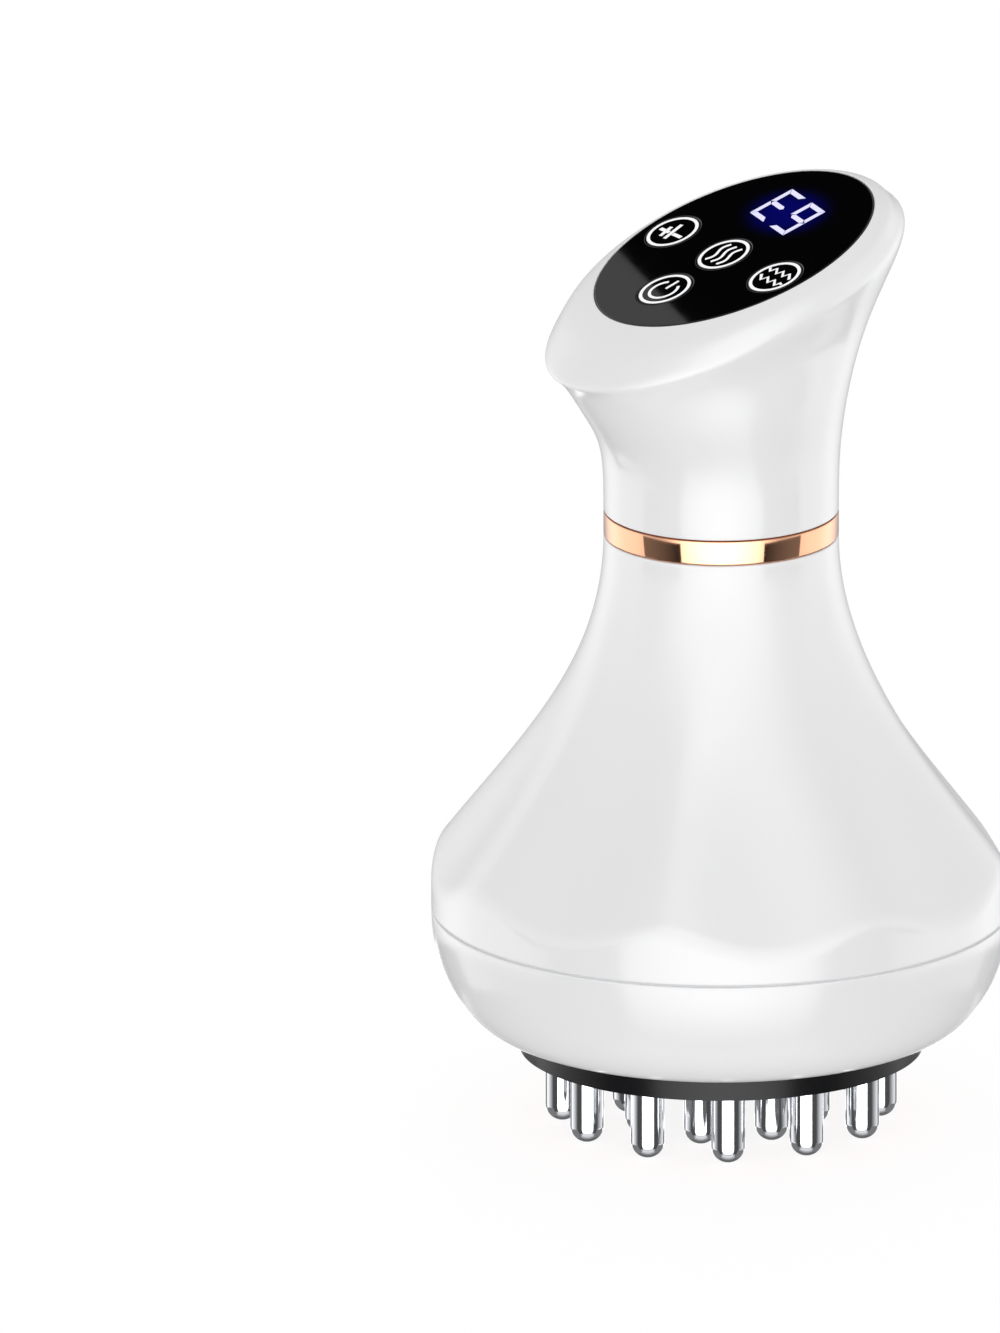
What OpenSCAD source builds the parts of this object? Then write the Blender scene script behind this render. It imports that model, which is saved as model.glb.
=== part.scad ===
// Handheld drainage massager. A round base carries rows of metal pins inside a red light
// ring, a fluted bell rises from it to a metal band, and a tilted head above the band
// holds a glossy panel with four keys and a display. It stands on its pins, +Z is up, the
// origin lies on the axis at the pin tips, and the panel's low end looks towards -Y.
// Every height named "above the pin face" is counted from the flat face between the pins.

/* [Base] */
// Width across the widest part of the base
base_d = 100; // [96:0.5:108]
// Height above the pin face at which the base is widest
belly_h = 25.9; // [25.4:0.1:27.5]
// Height of the seam between base and bell above the pin face
seam_h = 24.9; // [24:0.1:25.4]
// Fullness of the underside's curve, where 2 is an ellipse
base_fullness = 2.2; // [2:0.05:2.6]
// Wall of the base, the bell and the handle
shell_wall = 2.4; // [2:0.1:2.8]
// Thickness of the seal in the seam
seam_seal_t = 0.3; // [0.2:0.05:0.5]
// How far the seal stays back from the outer surface
seam_seal_inset = 0.7; // [0.5:0.1:1]
// Height of the base's inner lip above the seam
lip_h = 3; // [2:0.1:4]
// Wall of the base's inner lip
lip_wall = 1.4; // [1:0.1:1.8]
// Radius of the bosses inside the base that carry the motor frame
frame_boss_r = 3.4; // [3:0.1:3.8]
// Distance of those bosses' middles from the base's widest edge
frame_boss_inset = 9.5; // [9:0.1:10]

/* [Bell] */
// Height of the ridges' shoulder above the pin face
shoulder_h = 35.9; // [35:0.1:38]
// Radius that rounds the shoulder
shoulder_r = 6; // [4:0.5:8]
// Angle between the flare and the vertical at the shoulder
flare_angle = 37.5; // [34:0.5:42]
// Length of the flare's straight pull above the shoulder
flare_pull = 21.8; // [16:0.2:26]
// Length of the flare's straight pull below the metal band
neck_pull = 23.4; // [18:0.2:28]
// Number of shallow flutes round the bell
flute_count = 8; // [6:1:10]
// How far the shoulder dips between two ridges
flute_dip = 4; // [2:0.1:5]
// Share of the flare's length that the flutes reach
flute_reach = 0.9; // [0.6:0.05:1]
// Softness of the ridges, where 1 is a sine wave
flute_softness = 0.8; // [0.7:0.05:1]

/* [Metal band] */
// Width across the neck at the band
neck_d = 40.6; // [38:0.1:44]
// Height of the band's lower edge above the pin face
band_low_h = 91.8; // [88:0.1:96]
// Height of the band
band_h = 4.5; // [3:0.1:6]
// Height of the lower end of the handle's spigot above the pin face
spigot_low_h = 80; // [79:0.1:82]
// Clearance between the handle's spigot and what it passes through
spigot_gap = 0.15; // [0.1:0.05:0.25]
// Wall of the handle's spigot
spigot_wall = 1.75; // [1.5:0.05:2.2]
// How far the handle's collar, which joins the spigot to the neck, reaches above the band
collar_l = 6.1; // [5:0.1:7]

/* [Head] */
// Tilt of the panel from the horizontal
tilt = 20; // [14:1:26]
// Height of the panel's centre above the pin face
panel_h = 142.6; // [138:0.2:148]
// Distance of the panel's centre from the axis, towards the high end
panel_shift = 2.6; // [1:0.1:4]
// Width of the shell's flat edge round the panel
edge_w = 0.4; // [0.3:0.05:0.8]
// Half length of the brow, the curve that pulls the edge over
brow_length = 30.6; // [29.5:0.1:33]
// Half width of the brow
brow_width = 26.1; // [25.5:0.1:28]
// Shift of the brow towards the low end
brow_shift = 1.6; // [0:0.1:4]
// Depth of the brow below the panel's face
brow_depth = 1.4; // [0.4:0.1:2]
// Half length of the rim, the curve that pulls the rounded side down
rim_length = 32.5; // [31:0.1:35]
// Half width of the rim
rim_width = 26.7; // [26:0.1:29]
// Shift of the rim towards the low end
rim_shift = 3.1; // [2:0.1:5]
// Depth of the rim below the panel's face
rim_depth = 3.7; // [3:0.1:5]
// Half length of the lip, the curve that pulls the head to its widest
lip_length = 36.2; // [34:0.1:38]
// Half width of the lip
lip_width = 26.8; // [26:0.1:30]
// Shift of the lip towards the low end
lip_shift = 3.9; // [3:0.1:5]
// Depth of the lip below the panel's face
lip_depth = 6.1; // [5.4:0.1:8]
// Half length of the throat, the curve that draws the lip in
throat_length = 29.2; // [27:0.1:31]
// Half width of the throat
throat_width = 23; // [22:0.1:26]
// Shift of the throat towards the low end
throat_shift = 8.4; // [6:0.1:9]
// Depth of the throat below the panel's face
throat_depth = 12.1; // [11:0.1:14]
// How much deeper the throat lies at its high end
throat_drop = 4.9; // [3:0.1:6]
// Radius of the waist, the curve that pulls the handle's middle
waist_r = 23.3; // [22:0.1:25]
// Shift of the waist towards the low end
waist_shift = 0.8; // [0:0.1:2]
// Height of the waist above the pin face
waist_h = 118.5; // [114:0.5:122]
// How much higher the waist lies at its high end
waist_rise = 4.7; // [2:0.1:7]
// Height at which the handle's straight neck ends
neck_end_h = 108.1; // [105:0.1:111]

/* [Panel] */
// Length of the glossy panel along the slope
panel_length = 52.2; // [50:0.2:55]
// Width of the glossy panel
panel_width = 46.2; // [44:0.2:49]
// Thickness of the panel
panel_t = 1.5; // [1.2:0.1:2]
// Gap between the panel and the shell
panel_gap = 0.1; // [0.05:0.05:0.2]
// Thickness of the adhesive gasket under the panel
gasket_t = 0.5; // [0.3:0.1:0.8]
// Width of the ledge that the gasket lies on
ledge_w = 1; // [0.8:0.1:1.1]
// Thickness of that ledge
ledge_t = 1.6; // [1.2:0.1:2]
// Depth of the key board's upper face below the panel's face
ui_depth = 6.6; // [6.4:0.1:8]
// Thickness of each circuit board
board_t = 1.6; // [1.2:0.1:2]
// Gap between the key board and the ledge's inner edge
ui_margin = 0.7; // [0.5:0.1:1]
// Radius of the posts under the panel that the key board is screwed to
ui_post_r = 1.9; // [1.6:0.1:2.1]
// Diameter of the beeper under the key board
beeper_d = 9; // [7:0.5:9.5]
// Height of the beeper
beeper_h = 3; // [2:0.2:3.4]

/* [Keys] */
// Diameter of each round key
key_d = 9.7; // [9:0.1:10.4]
// Gap round each key in the panel
key_gap = 0.15; // [0.1:0.05:0.25]
// How far a key travels when it is pressed
key_travel = 0.35; // [0.2:0.05:0.5]
// Distance of the two side keys from the middle
key_spread = 16.4; // [15.8:0.1:16.6]
// Distance of the upper row of keys below the panel's centre
key_row = 2.2; // [1:0.1:3]
// Distance of the power key below the panel's centre
power_row = 15; // [14:0.1:16.5]
// Width of the hidden flange round each key
key_flange = 0.4; // [0.3:0.05:0.5]
// Thickness of the hidden flange
key_flange_t = 1; // [0.8:0.1:1.2]
// Gap between the flange and the panel's underside
key_stop_gap = 0.1; // [0.05:0.05:0.2]
// Diameter of a key's stem
stem_d = 3; // [2.4:0.1:4]
// Width of a key switch's body
switch_w = 4.5; // [4:0.1:5]
// Height of a key switch's body
switch_h = 1.6; // [1.4:0.1:2]
// Diameter of a key switch's plunger
plunger_d = 2; // [1.6:0.1:2.4]
// How far the plunger stands out of its switch
plunger_rise = 0.6; // [0.55:0.05:0.8]
// Length of the plunger inside its switch
plunger_root = 0.4; // [0.3:0.05:0.5]
// Width of the display module
display_w = 20; // [18:0.2:22]
// Length of the display module along the slope
display_l = 12.6; // [11:0.2:13.4]
// Distance of the display above the panel's centre
display_row = 12.4; // [11.6:0.1:13]
// Shift of the display to the left
display_shift = 0.6; // [0:0.1:1]

/* [Pin face] */
// Diameter of the black pin plate
plate_d = 69.6; // [69:0.2:70.4]
// Diameter of the plate's raised middle
boss_d = 48.4; // [46:0.2:48.6]
// How far the pins reach below the pin face
pin_reach = 13.1; // [10:0.1:16]
// Diameter of the pins in both rows
pin_d = 5.9; // [5:0.1:6.4]
// Diameter of the centre pin
centre_pin_d = 8; // [7:0.1:9]
// Radius of the outer row of pins
outer_row_r = 27.4; // [27.2:0.1:27.8]
// Radius of the inner row of pins
inner_row_r = 16.2; // [15:0.1:18]
// Number of pins in the outer row
outer_pins_n = 12; // [8:1:12]
// Number of pins in the inner row
inner_pins_n = 8; // [6:1:8]
// Diameter of the threaded stud on each pin
stud_d = 3; // [2.5:0.1:3.2]
// Height of the collar at the root of the inner and centre pins
pin_collar_h = 0.5; // [0.3:0.1:0.8]
// Width of that collar round the pin
pin_collar_w = 0.4; // [0.2:0.1:0.6]
// Height of the plate's side that shows below the base
skirt_h = 4; // [3.6:0.1:5]
// Thickness of the plate's rim round the light ring
rim_wall = 0.9; // [0.7:0.1:1.1]
// Width of the plate's step under the base
plate_step = 1.8; // [1.5:0.1:2.2]
// Depth of the channel for the light ring
channel_depth = 3; // [2.6:0.1:3.2]
// Thickness of the plate's floor behind the light ring
plate_floor_t = 2; // [1.6:0.1:2.4]
// Wall of the plate's spigot inside the base
plate_spigot_wall = 3.2; // [3:0.1:3.4]
// Depth of the light ring's inner face below the pin face
glow_depth = 1.6; // [1.2:0.1:1.8]
// Inner radius of the light ring's bevel
bevel_in_r = 29.8; // [29.4:0.1:30.4]
// Outer radius of the light ring's bevel
bevel_out_r = 31.4; // [30.8:0.1:32]
// Depth of the light ring's outer band below the pin face
glow_band_depth = 0.3; // [0.2:0.1:0.6]
// Clearance of pins, lamps and rings in the plate and the light ring
fit_gap = 0.1; // [0.05:0.05:0.15]
// Number of small lamps behind the light ring
lamps_n = 6; // [4:1:6]
// Diameter of each lamp
lamp_d = 3; // [2.6:0.1:3.2]

/* [Inside] */
// Thickness of the heating film
film_t = 0.3; // [0.2:0.1:0.5]
// Thickness of the nuts on the pins
nut_t = 2; // [1.6:0.1:2.4]
// Width across the flats of the nuts
nut_w = 5; // [4.6:0.1:5.2]
// Thickness of the ring that clamps the plate to the base
clamp_t = 1.6; // [1.4:0.1:2]
// How far the clamp ring reaches out over the base's floor
clamp_reach = 3; // [2.6:0.1:3.2]
// Height of the motor frame above the pin face
frame_h = 21.4; // [21:0.1:22.2]
// Thickness of the motor frame
frame_t = 2.4; // [2:0.1:2.8]
// Diameter of the motor
motor_d = 24; // [22:0.5:25]
// Length of the motor's can
motor_l = 24; // [22:0.5:26]
// Diameter of the motor's shaft
shaft_d = 2; // [2:0.1:2.4]
// Running clearance of the shaft in its bearings, on the radius
shaft_gap = 0.03; // [0.02:0.01:0.06]
// Radius of the eccentric weight
weight_r = 13; // [11:0.5:14]
// Thickness of the eccentric weight
weight_t = 6.5; // [5:0.5:7]
// Gap between the weight and the motor frame
weight_gap = 2.5; // [2:0.1:3]
// Thickness of each bearing and of the motor's rear cap
bearing_t = 2.5; // [2:0.1:3]
// Radius of the posts that carry the driver board
post_r = 2.8; // [2.4:0.1:3]
// Radius at which those posts stand
post_ring_r = 31; // [30:0.2:31.6]
// Height of the driver board above the pin face
driver_h = 36; // [35:0.5:37]
// Diameter of the driver board
driver_d = 70; // [66:1:72]
// Diameter of the battery cell
cell_d = 18.4; // [17:0.1:18.6]
// Height of the battery cell's lower end above the pin face
cell_h = 59; // [58.4:0.1:59.6]
// Length of the battery cell
cell_l = 65; // [60:0.5:66]
// Thickness of the battery contacts
contact_t = 0.6; // [0.4:0.1:0.8]
// Wall of the battery cradle
cradle_wall = 1.5; // [1.2:0.1:1.6]
// Thickness of the cradle's flange and of the bell's inner shelf
flange_t = 2.4; // [2:0.1:3]
// Radius at which the neck screws stand
neck_screw_ring_r = 14.4; // [14:0.1:14.6]
// Radius of the bosses in the neck for the neck screws
neck_boss_r = 2.6; // [2.2:0.1:2.8]
// Height of those bosses
neck_boss_h = 20; // [14:0.5:21]
// Diameter of the wires' insulation
wire_d = 1.4; // [1:0.1:1.6]
// Thickness of the flat ribbon
ribbon_t = 0.4; // [0.3:0.05:0.5]
// Width of the flat ribbon
ribbon_w = 10; // [8:0.5:11]

/* [Charging socket] */
// Height of the socket's small board above the pin face
charge_board_h = 103.9; // [103.4:0.1:104.8]
// Thickness of that board
charge_board_t = 1.3; // [1:0.1:1.6]
// Width of the socket's metal shell
socket_w = 8.9; // [8.8:0.05:9]
// Height of the socket's metal shell
socket_shell_h = 3.2; // [3.1:0.05:3.3]
// Wall of the socket's metal shell
socket_wall = 0.3; // [0.2:0.05:0.35]
// Length of the socket's metal shell
socket_l = 7.3; // [6.8:0.1:7.4]
// Gap between the socket and the slot in the neck
socket_gap = 0.2; // [0.1:0.05:0.3]
// Thickness of the shelf inside the neck that the board lies on
shelf_t = 1.5; // [1.2:0.1:2]
// Width of that shelf
shelf_w = 12; // [10:0.5:12.5]

/* [Driver board] */
// Diameter of each capacitor
capacitor_d = 6.2; // [5:0.1:7]
// Height of each capacitor
capacitor_h = 9; // [7:0.5:11]
// Width of the boost transformer
transformer_w = 11.5; // [10:0.5:12.5]
// Length of the boost transformer
transformer_l = 11; // [9:0.5:13]
// Height of the boost transformer
transformer_h = 10.5; // [8:0.5:12]
// Width of the control chip
chip_w = 8; // [6:0.5:9]
// Thickness of the control chip
chip_t = 1.2; // [0.8:0.1:1.6]
// Width of each wire connector
connector_w = 5; // [4:0.1:6]
// Length of each wire connector
connector_l = 4; // [3.4:0.1:5]
// Height of each wire connector
connector_h = 3.4; // [2.6:0.1:4]

/* [Screws] */
// Radius of the small screws' shanks
screw_r = 0.85; // [0.7:0.05:1]
// Radius of the small screws' heads
screw_head_r = 1.7; // [1.5:0.05:1.9]
// Height of the small screws' heads
screw_head_h = 1.2; // [1:0.1:1.4]
// Radius of the frame screws' shanks
frame_screw_r = 1.3; // [1:0.05:1.5]
// Radius of the frame screws' heads
frame_head_r = 2.6; // [2.2:0.1:2.8]
// Height of the frame screws' heads
frame_head_h = 1.8; // [1.4:0.1:2]
// Clearance of a screw in the hole that it passes through
screw_gap = 0.2; // [0.1:0.05:0.3]

/* [Hidden] */
$fn = 64;
// A cut runs this far past the face that it opens
eps = 0.5;
face_z = pin_reach;
base_r = base_d/2;
neck_r = neck_d/2;
plate_r = plate_d/2;
foot_r = plate_r + 2*fit_gap;
boss_r = boss_d/2;
plate_t = channel_depth + plate_floor_t;
plate_spigot_r = plate_r - plate_step;
opening_r = plate_spigot_r + 3*fit_gap;
floor_z = face_z + skirt_h + shell_wall;
seam_z = face_z + seam_h;
lip_r = base_r - shell_wall - 2*fit_gap;
well_r = lip_r - lip_wall;
band_low_z = face_z + band_low_h;
band_top_z = band_low_z + band_h;
spigot_r = neck_r - shell_wall - spigot_gap;
spigot_low_z = face_z + spigot_low_h;
panel_z = face_z + panel_h;
seat_depth = panel_t + gasket_t;
frame_z = face_z + frame_h;
motor_z = frame_z + frame_t;
driver_z = face_z + driver_h;
driver_top_z = driver_z + board_t;
film_z = face_z + plate_t;
electrode_z = film_z + film_t;
nut_z = electrode_z + board_t;
nut_top_z = nut_z + nut_t;
clamp_in_r = plate_spigot_r - plate_spigot_wall + 0.8;
clamp_out_r = plate_spigot_r + clamp_reach;
clamp_ring_r = plate_spigot_r - plate_spigot_wall/2;
clamp_bite = 2;
ui_bite = 3;
driver_bite = 5;
neck_bite = 8;
board_r = plate_spigot_r - plate_spigot_wall - 4*fit_gap;
frame_ring_r = base_r - frame_boss_inset;
frame_bite = 8;
frame_r = well_r - 1;
ledge_length = panel_length/2 - ledge_w;
ledge_width = panel_width/2 - ledge_w;
cradle_in_r = cell_d/2 + 0.15;
cradle_r = cradle_in_r + cradle_wall;
cradle_gap = 0.7;
shelf_z = spigot_low_z - 2*flange_t;
motor_top_z = motor_z + motor_l;
cap_top_z = motor_top_z + bearing_t;
cell_z = face_z + cell_h;
weight_z = frame_z - weight_gap - weight_t;
shaft_low_z = weight_z - 1.4;
shaft_top_z = cap_top_z + 0.9;
bearing_r = shaft_d/2 + 1.5;
can_wall = 0.8;
magnet_in_r = motor_d/2 - 2.6;
motor_screw_ring_r = 8;
screw_hole_r = screw_r + screw_gap;
collar_r = neck_r - shell_wall/2;
collar_z = band_top_z + collar_l;
charge_board_z = face_z + charge_board_h;
charge_shelf_z = charge_board_z - shelf_t;
socket_axis_z = charge_board_z + charge_board_t + socket_shell_h/2;
socket_mouth_y = neck_r - 0.2;
socket_back_t = 1.2;
switch_top = -ui_depth + switch_h;
plunger_top = switch_top + plunger_rise;
key_under = -panel_t - key_stop_gap;
ui_half_length = ledge_length - ui_margin;
ui_half_width = ledge_width - ui_margin;
lamp_turn = 15;
clamp_turn = 15;
boss_turn = 45;
neck_turn = 90;
electrode_turn = 157.5;

// Places of the keys, the key board's screws and the beeper, in the panel's frame
key_places = [[0, -power_row], [-key_spread, -key_row], [0, -key_row], [key_spread, -key_row]];
ui_screws = [[14.2, 8.6], [-14.2, 8.6], [8.6, -12.4], [-8.6, -12.4]];
beeper_place = [7.5, 10];

// Places on the driver board
connector_size = [connector_w, connector_l, connector_h];
connector_top_z = driver_top_z + connector_h;
battery_plug = [14, 16];
motor_plug = [15, -14];
charge_plug = [9, 26];
ribbon_plug_y = -25;
capacitor_places = [[19, 0], [24, 8], [24, -8]];

// Where the ribbon and the charging wires pass the shelves in the neck
ribbon_y = -13.4;
wire_pass = neck_screw_ring_r*[cos(60), sin(60)];
below_shelf_z = spigot_low_z - 3*flange_t;

// Routes of the wires and the ribbon: each four points are the controls of a Bezier curve
battery_route = [[3, 2, cell_z - contact_t], [3, 2, cell_z - 8], [13, 14, cell_z - 4],
    [battery_plug[0], battery_plug[1], connector_top_z]];
motor_route = [[7, -2, cap_top_z], [8, -3, cap_top_z + 4.5], [15, -10, cap_top_z + 2.5],
    [motor_plug[0], motor_plug[1], connector_top_z]];
electrode_route = [[0, 0, nut_z], [0, 0, frame_z], [0, 0, motor_z], [2, 0, driver_z]];
electrode_ring_r = 22;
charge_route = [[wire_pass[0], wire_pass[1], below_shelf_z],
    [wire_pass[0], wire_pass[1], below_shelf_z - 18],
    [charge_plug[0], charge_plug[1], connector_top_z + 14],
    [charge_plug[0], charge_plug[1], connector_top_z]];
ribbon_row = -19.5;
round_steps = 64;
bell_steps = 80;

// A point on a cubic Bezier curve
function bezier(p0, p1, p2, p3, t) = p0*pow(1 - t, 3) + 3*p1*t*pow(1 - t, 2)
    + 3*p2*pow(t, 2)*(1 - t) + p3*pow(t, 3);

// A point on the uniform cubic B-spline whose four controls are given
function spline_point(a, b, c, d, t) = (a*pow(1 - t, 3) + b*(3*pow(t, 3) - 6*pow(t, 2) + 4)
    + c*(3*t + 3*pow(t, 2) - 3*pow(t, 3) + 1) + d*pow(t, 3))/6;

// An ellipse as a list of points, its long axis along Y
function oval(half_length, half_width, steps = 72) =
    [for (i = [0:steps - 1]) let (a = 360*i/steps) [half_width*cos(a), half_length*sin(a)]];

function unit(v) = v/norm(v);

module at(r, a) rotate([0, 0, a]) translate([r, 0, 0]) children();

module around(n, r, start = 0) for (i = [0:n - 1]) at(r, start + 360*i/n) children();

module tube(r_out, r_in, h) difference() {
    cylinder(r = r_out, h = h);
    translate([0, 0, -eps]) cylinder(r = r_in, h = h + 2*eps);
}

// The panel's own frame: +Y runs up the slope, +Z leaves the panel's face
module at_panel() translate([0, panel_shift, panel_z]) rotate([tilt, 0, 0]) children();

// A closed skin through rings of equal count, which run up outside and down inside
module skin(rings) {
    n = len(rings[0]);
    m = len(rings);
    polyhedron([for (ring = rings) each ring],
        [for (i = [0:m - 1], j = [0:n - 1])
            let (k = (i + 1) % m, l = (j + 1) % n,
                a = i*n + j, b = i*n + l, c = k*n + l, d = k*n + j)
            each [[a, c, b], [a, d, c]]], 6);
}

// Directions along a path, whose ends start and stop square to the faces that they meet
function directions(path, start, stop) = let (last = len(path) - 1)
    [for (i = [0:last]) i == 0 ? start : i == last ? stop : unit(path[i + 1] - path[i - 1])];

// A wire of round section along a list of points that lies across the direction side
module wire(path, side, start = [0, 0, -1], stop = [0, 0, -1], d = wire_d, sides = 8) {
    last = len(path) - 1;
    t = directions(path, start, stop);
    rings = [for (i = [0:last]) let (n = unit(cross(side, t[i])), b = cross(t[i], n))
        [for (j = [0:sides - 1]) path[i] + d/2*(cos(360*j/sides)*n + sin(360*j/sides)*b)]];
    polyhedron([for (ring = rings) each ring],
        concat([[for (j = [0:sides - 1]) j]],
            [[for (j = [sides - 1:-1:0]) last*sides + j]],
            [for (i = [0:last - 1], j = [0:sides - 1])
                let (l = (j + 1) % sides, a = i*sides + j, b = i*sides + l)
                each [[a, a + sides, b], [b, a + sides, b + sides]]]), 6);
}

// Points along the cubic Bezier curve with the four controls c
function curve(c, steps = 12) =
    [for (i = [0:steps]) bezier(c[0], c[1], c[2], c[3], i/steps)];

// A screw that points down, its head's seat at the origin
module screw(shank_l, shank_r = screw_r, head_r = screw_head_r, head_h = screw_head_h) {
    cylinder(r = head_r, h = head_h);
    translate([0, 0, -shank_l]) cylinder(r = shank_r, h = shank_l);
}

// The base's underside: a quarter of a superellipse from r0 out to r1
function under(r0, z0, r1, z1, a) = [r0 + (r1 - r0)*pow(sin(a), 2/base_fullness),
    z0 + (z1 - z0)*(1 - pow(cos(a), 2/base_fullness))];

module base_shell() color("white") {
    belly_z = face_z + belly_h;
    top = seam_z - seam_seal_t/2;
    rise = (top - face_z - skirt_h)/(belly_h - skirt_h);
    last = acos(pow(1 - rise, base_fullness/2));
    outer = [for (i = [0:16]) under(foot_r, face_z + skirt_h, base_r, belly_z, last*i/16)];
    inner = [for (i = [12:-1:0]) under(clamp_out_r + 0.5, floor_z, well_r, seam_z - 1, 90*i/12)];
    difference() {
        union() {
            rotate_extrude() polygon(concat([[opening_r, face_z + skirt_h]], outer,
                [[lip_r, top], [lip_r, seam_z + lip_h], [well_r, seam_z + lip_h]],
                inner, [[opening_r, floor_z]]));
            intersection() {
                around(4, frame_ring_r, boss_turn) translate([0, 0, face_z])
                    cylinder(r = frame_boss_r, h = frame_h);
                rotate_extrude() polygon(concat([[0, face_z + skirt_h + 1]],
                    [for (p = outer) [max(0, p[0] - 1), p[1] + 1]],
                    [[base_r - 1, frame_z], [0, frame_z]]));
            }
        }
        around(4, frame_ring_r, boss_turn) translate([0, 0, frame_z - frame_bite - 2])
            cylinder(r = frame_screw_r, h = frame_bite + 2 + eps);
    }
}

module seam_seal() color("gainsboro") translate([0, 0, seam_z - seam_seal_t/2])
    tube(base_r - seam_seal_inset, lip_r + fit_gap, seam_seal_t);

// Depth of a flute at an angle, 0 on a ridge and 1 midway between two
function flute(a) = pow(pow(sin(flute_count*a/2), 2), flute_softness);

// How much of the flutes' dip is left at a share of the flare's length
function flute_fade(t) = let (w = max(0, 1 - t/flute_reach)) w*w*(3 - 2*w);

// The bell's outline as rows of radius, height above the pin face and flute share
function bell_rows() =
    let (turn_r = base_r - shoulder_r*(1 - cos(flare_angle)),
        start_h = shoulder_h - shoulder_r*sin(flare_angle),
        foot = [turn_r, shoulder_h],
        head = [neck_r, band_low_h])
    concat([for (i = [0:5]) let (a = flare_angle*i/5)
            [base_r - shoulder_r*(1 - cos(a)), start_h + shoulder_r*sin(a), 1]],
        [for (i = [1:14]) let (t = i/14,
            p = bezier(foot, foot + flare_pull*[-sin(flare_angle), cos(flare_angle)],
                head - [0, neck_pull], head, t)) [p[0], p[1], flute_fade(t)]]);

function bell_ring(row, inset = 0) = [for (j = [0:bell_steps - 1]) let (a = 360*j/bell_steps)
    [(row[0] - inset)*cos(a), (row[0] - inset)*sin(a),
        face_z + row[1] - flute_dip*row[2]*flute(a)]];

// The bell is solid round its neck, where the bores for the spigot and the cradle are cut
module bell_shell() color("white") difference() {
    rows = bell_rows();
    foot = [base_r, seam_h + seam_seal_t/2, 0];
    shelf_h = shelf_z - face_z;
    shelf_r = lookup(shelf_h, [for (row = rows) [row[1], row[0]]]);
    lower = [for (row = rows) if (row[1] < shelf_h - 2) row];
    last = len(lower) - 1;
    skin(concat([bell_ring(foot)], [for (row = rows) bell_ring(row)],
        [bell_ring([cradle_r, band_low_h, 0]), bell_ring([cradle_r, shelf_h, 0]),
            bell_ring([shelf_r, shelf_h, 0], shell_wall)],
        [for (i = [last:-2:1]) bell_ring(lower[i], shell_wall)],
        [bell_ring(foot, shell_wall)]));
    translate([0, 0, shelf_z + flange_t])
        cylinder(r = spigot_r + spigot_gap, h = band_low_z - shelf_z);
    translate([0, 0, shelf_z - eps])
        cylinder(r = cradle_r + cradle_gap, h = band_low_z - shelf_z);
    around(3, neck_screw_ring_r, neck_turn) translate([0, 0, shelf_z - eps])
        cylinder(r = screw_hole_r + 0.2, h = flange_t + 2*eps);
    neck_passages(shelf_z);
    socket_slot();
}

// Openings for the panel's ribbon and the charging wires through a shelf in the neck
module neck_passages(z) {
    slot = [ribbon_w + 2, 4.4];
    translate([-slot[0]/2, ribbon_y - slot[1]/2, z - eps])
        cube([slot[0], slot[1], flange_t + 2*eps]);
    translate([wire_pass[0], wire_pass[1], z - eps])
        cylinder(r = wire_d/2 + 0.9, h = flange_t + 2*eps);
}

module gold_band() color([0.93, 0.68, 0.5]) difference() {
    translate([0, 0, band_low_z]) tube(neck_r, spigot_r + spigot_gap, band_h);
    socket_slot();
}

// The handle's skin is a B-spline through curves that pull it, from the straight neck up
// over waist, throat, lip, rim and brow to the panel's edge.
// A point of the tilted head, given in the panel's frame
function head_point(x, y, z) = [x, panel_shift + y*cos(tilt) - z*sin(tilt),
    panel_z + y*sin(tilt) + z*cos(tilt)];

// An oval ring of the head, shifted towards the low end and deeper at its high end
function head_ring(half_length, half_width, shift, depth, drop = 0) =
    [for (j = [0:round_steps - 1]) let (a = 360*j/round_steps)
        head_point(half_width*cos(a), half_length*sin(a) - shift, -depth - drop*sin(a))];

// A round ring of the neck, higher at its high end and shifted towards the low end
function neck_ring(r, z, rise = 0, shift = 0) = [for (j = [0:round_steps - 1])
    let (a = 360*j/round_steps) [r*cos(a), r*sin(a) - shift, z + rise*sin(a)]];

// Rings between the control rings, each a B-spline along its meridian
function between(c, steps) = let (last = len(c) - 1,
        all = concat([2*c[0] - c[1]], c, [2*c[last] - c[last - 1]]))
    [for (i = [0:last - 1], k = [0:steps - 1])
        [for (j = [0:round_steps - 1])
            spline_point(all[i][j], all[i + 1][j], all[i + 2][j], all[i + 3][j], k/steps)]];

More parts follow.
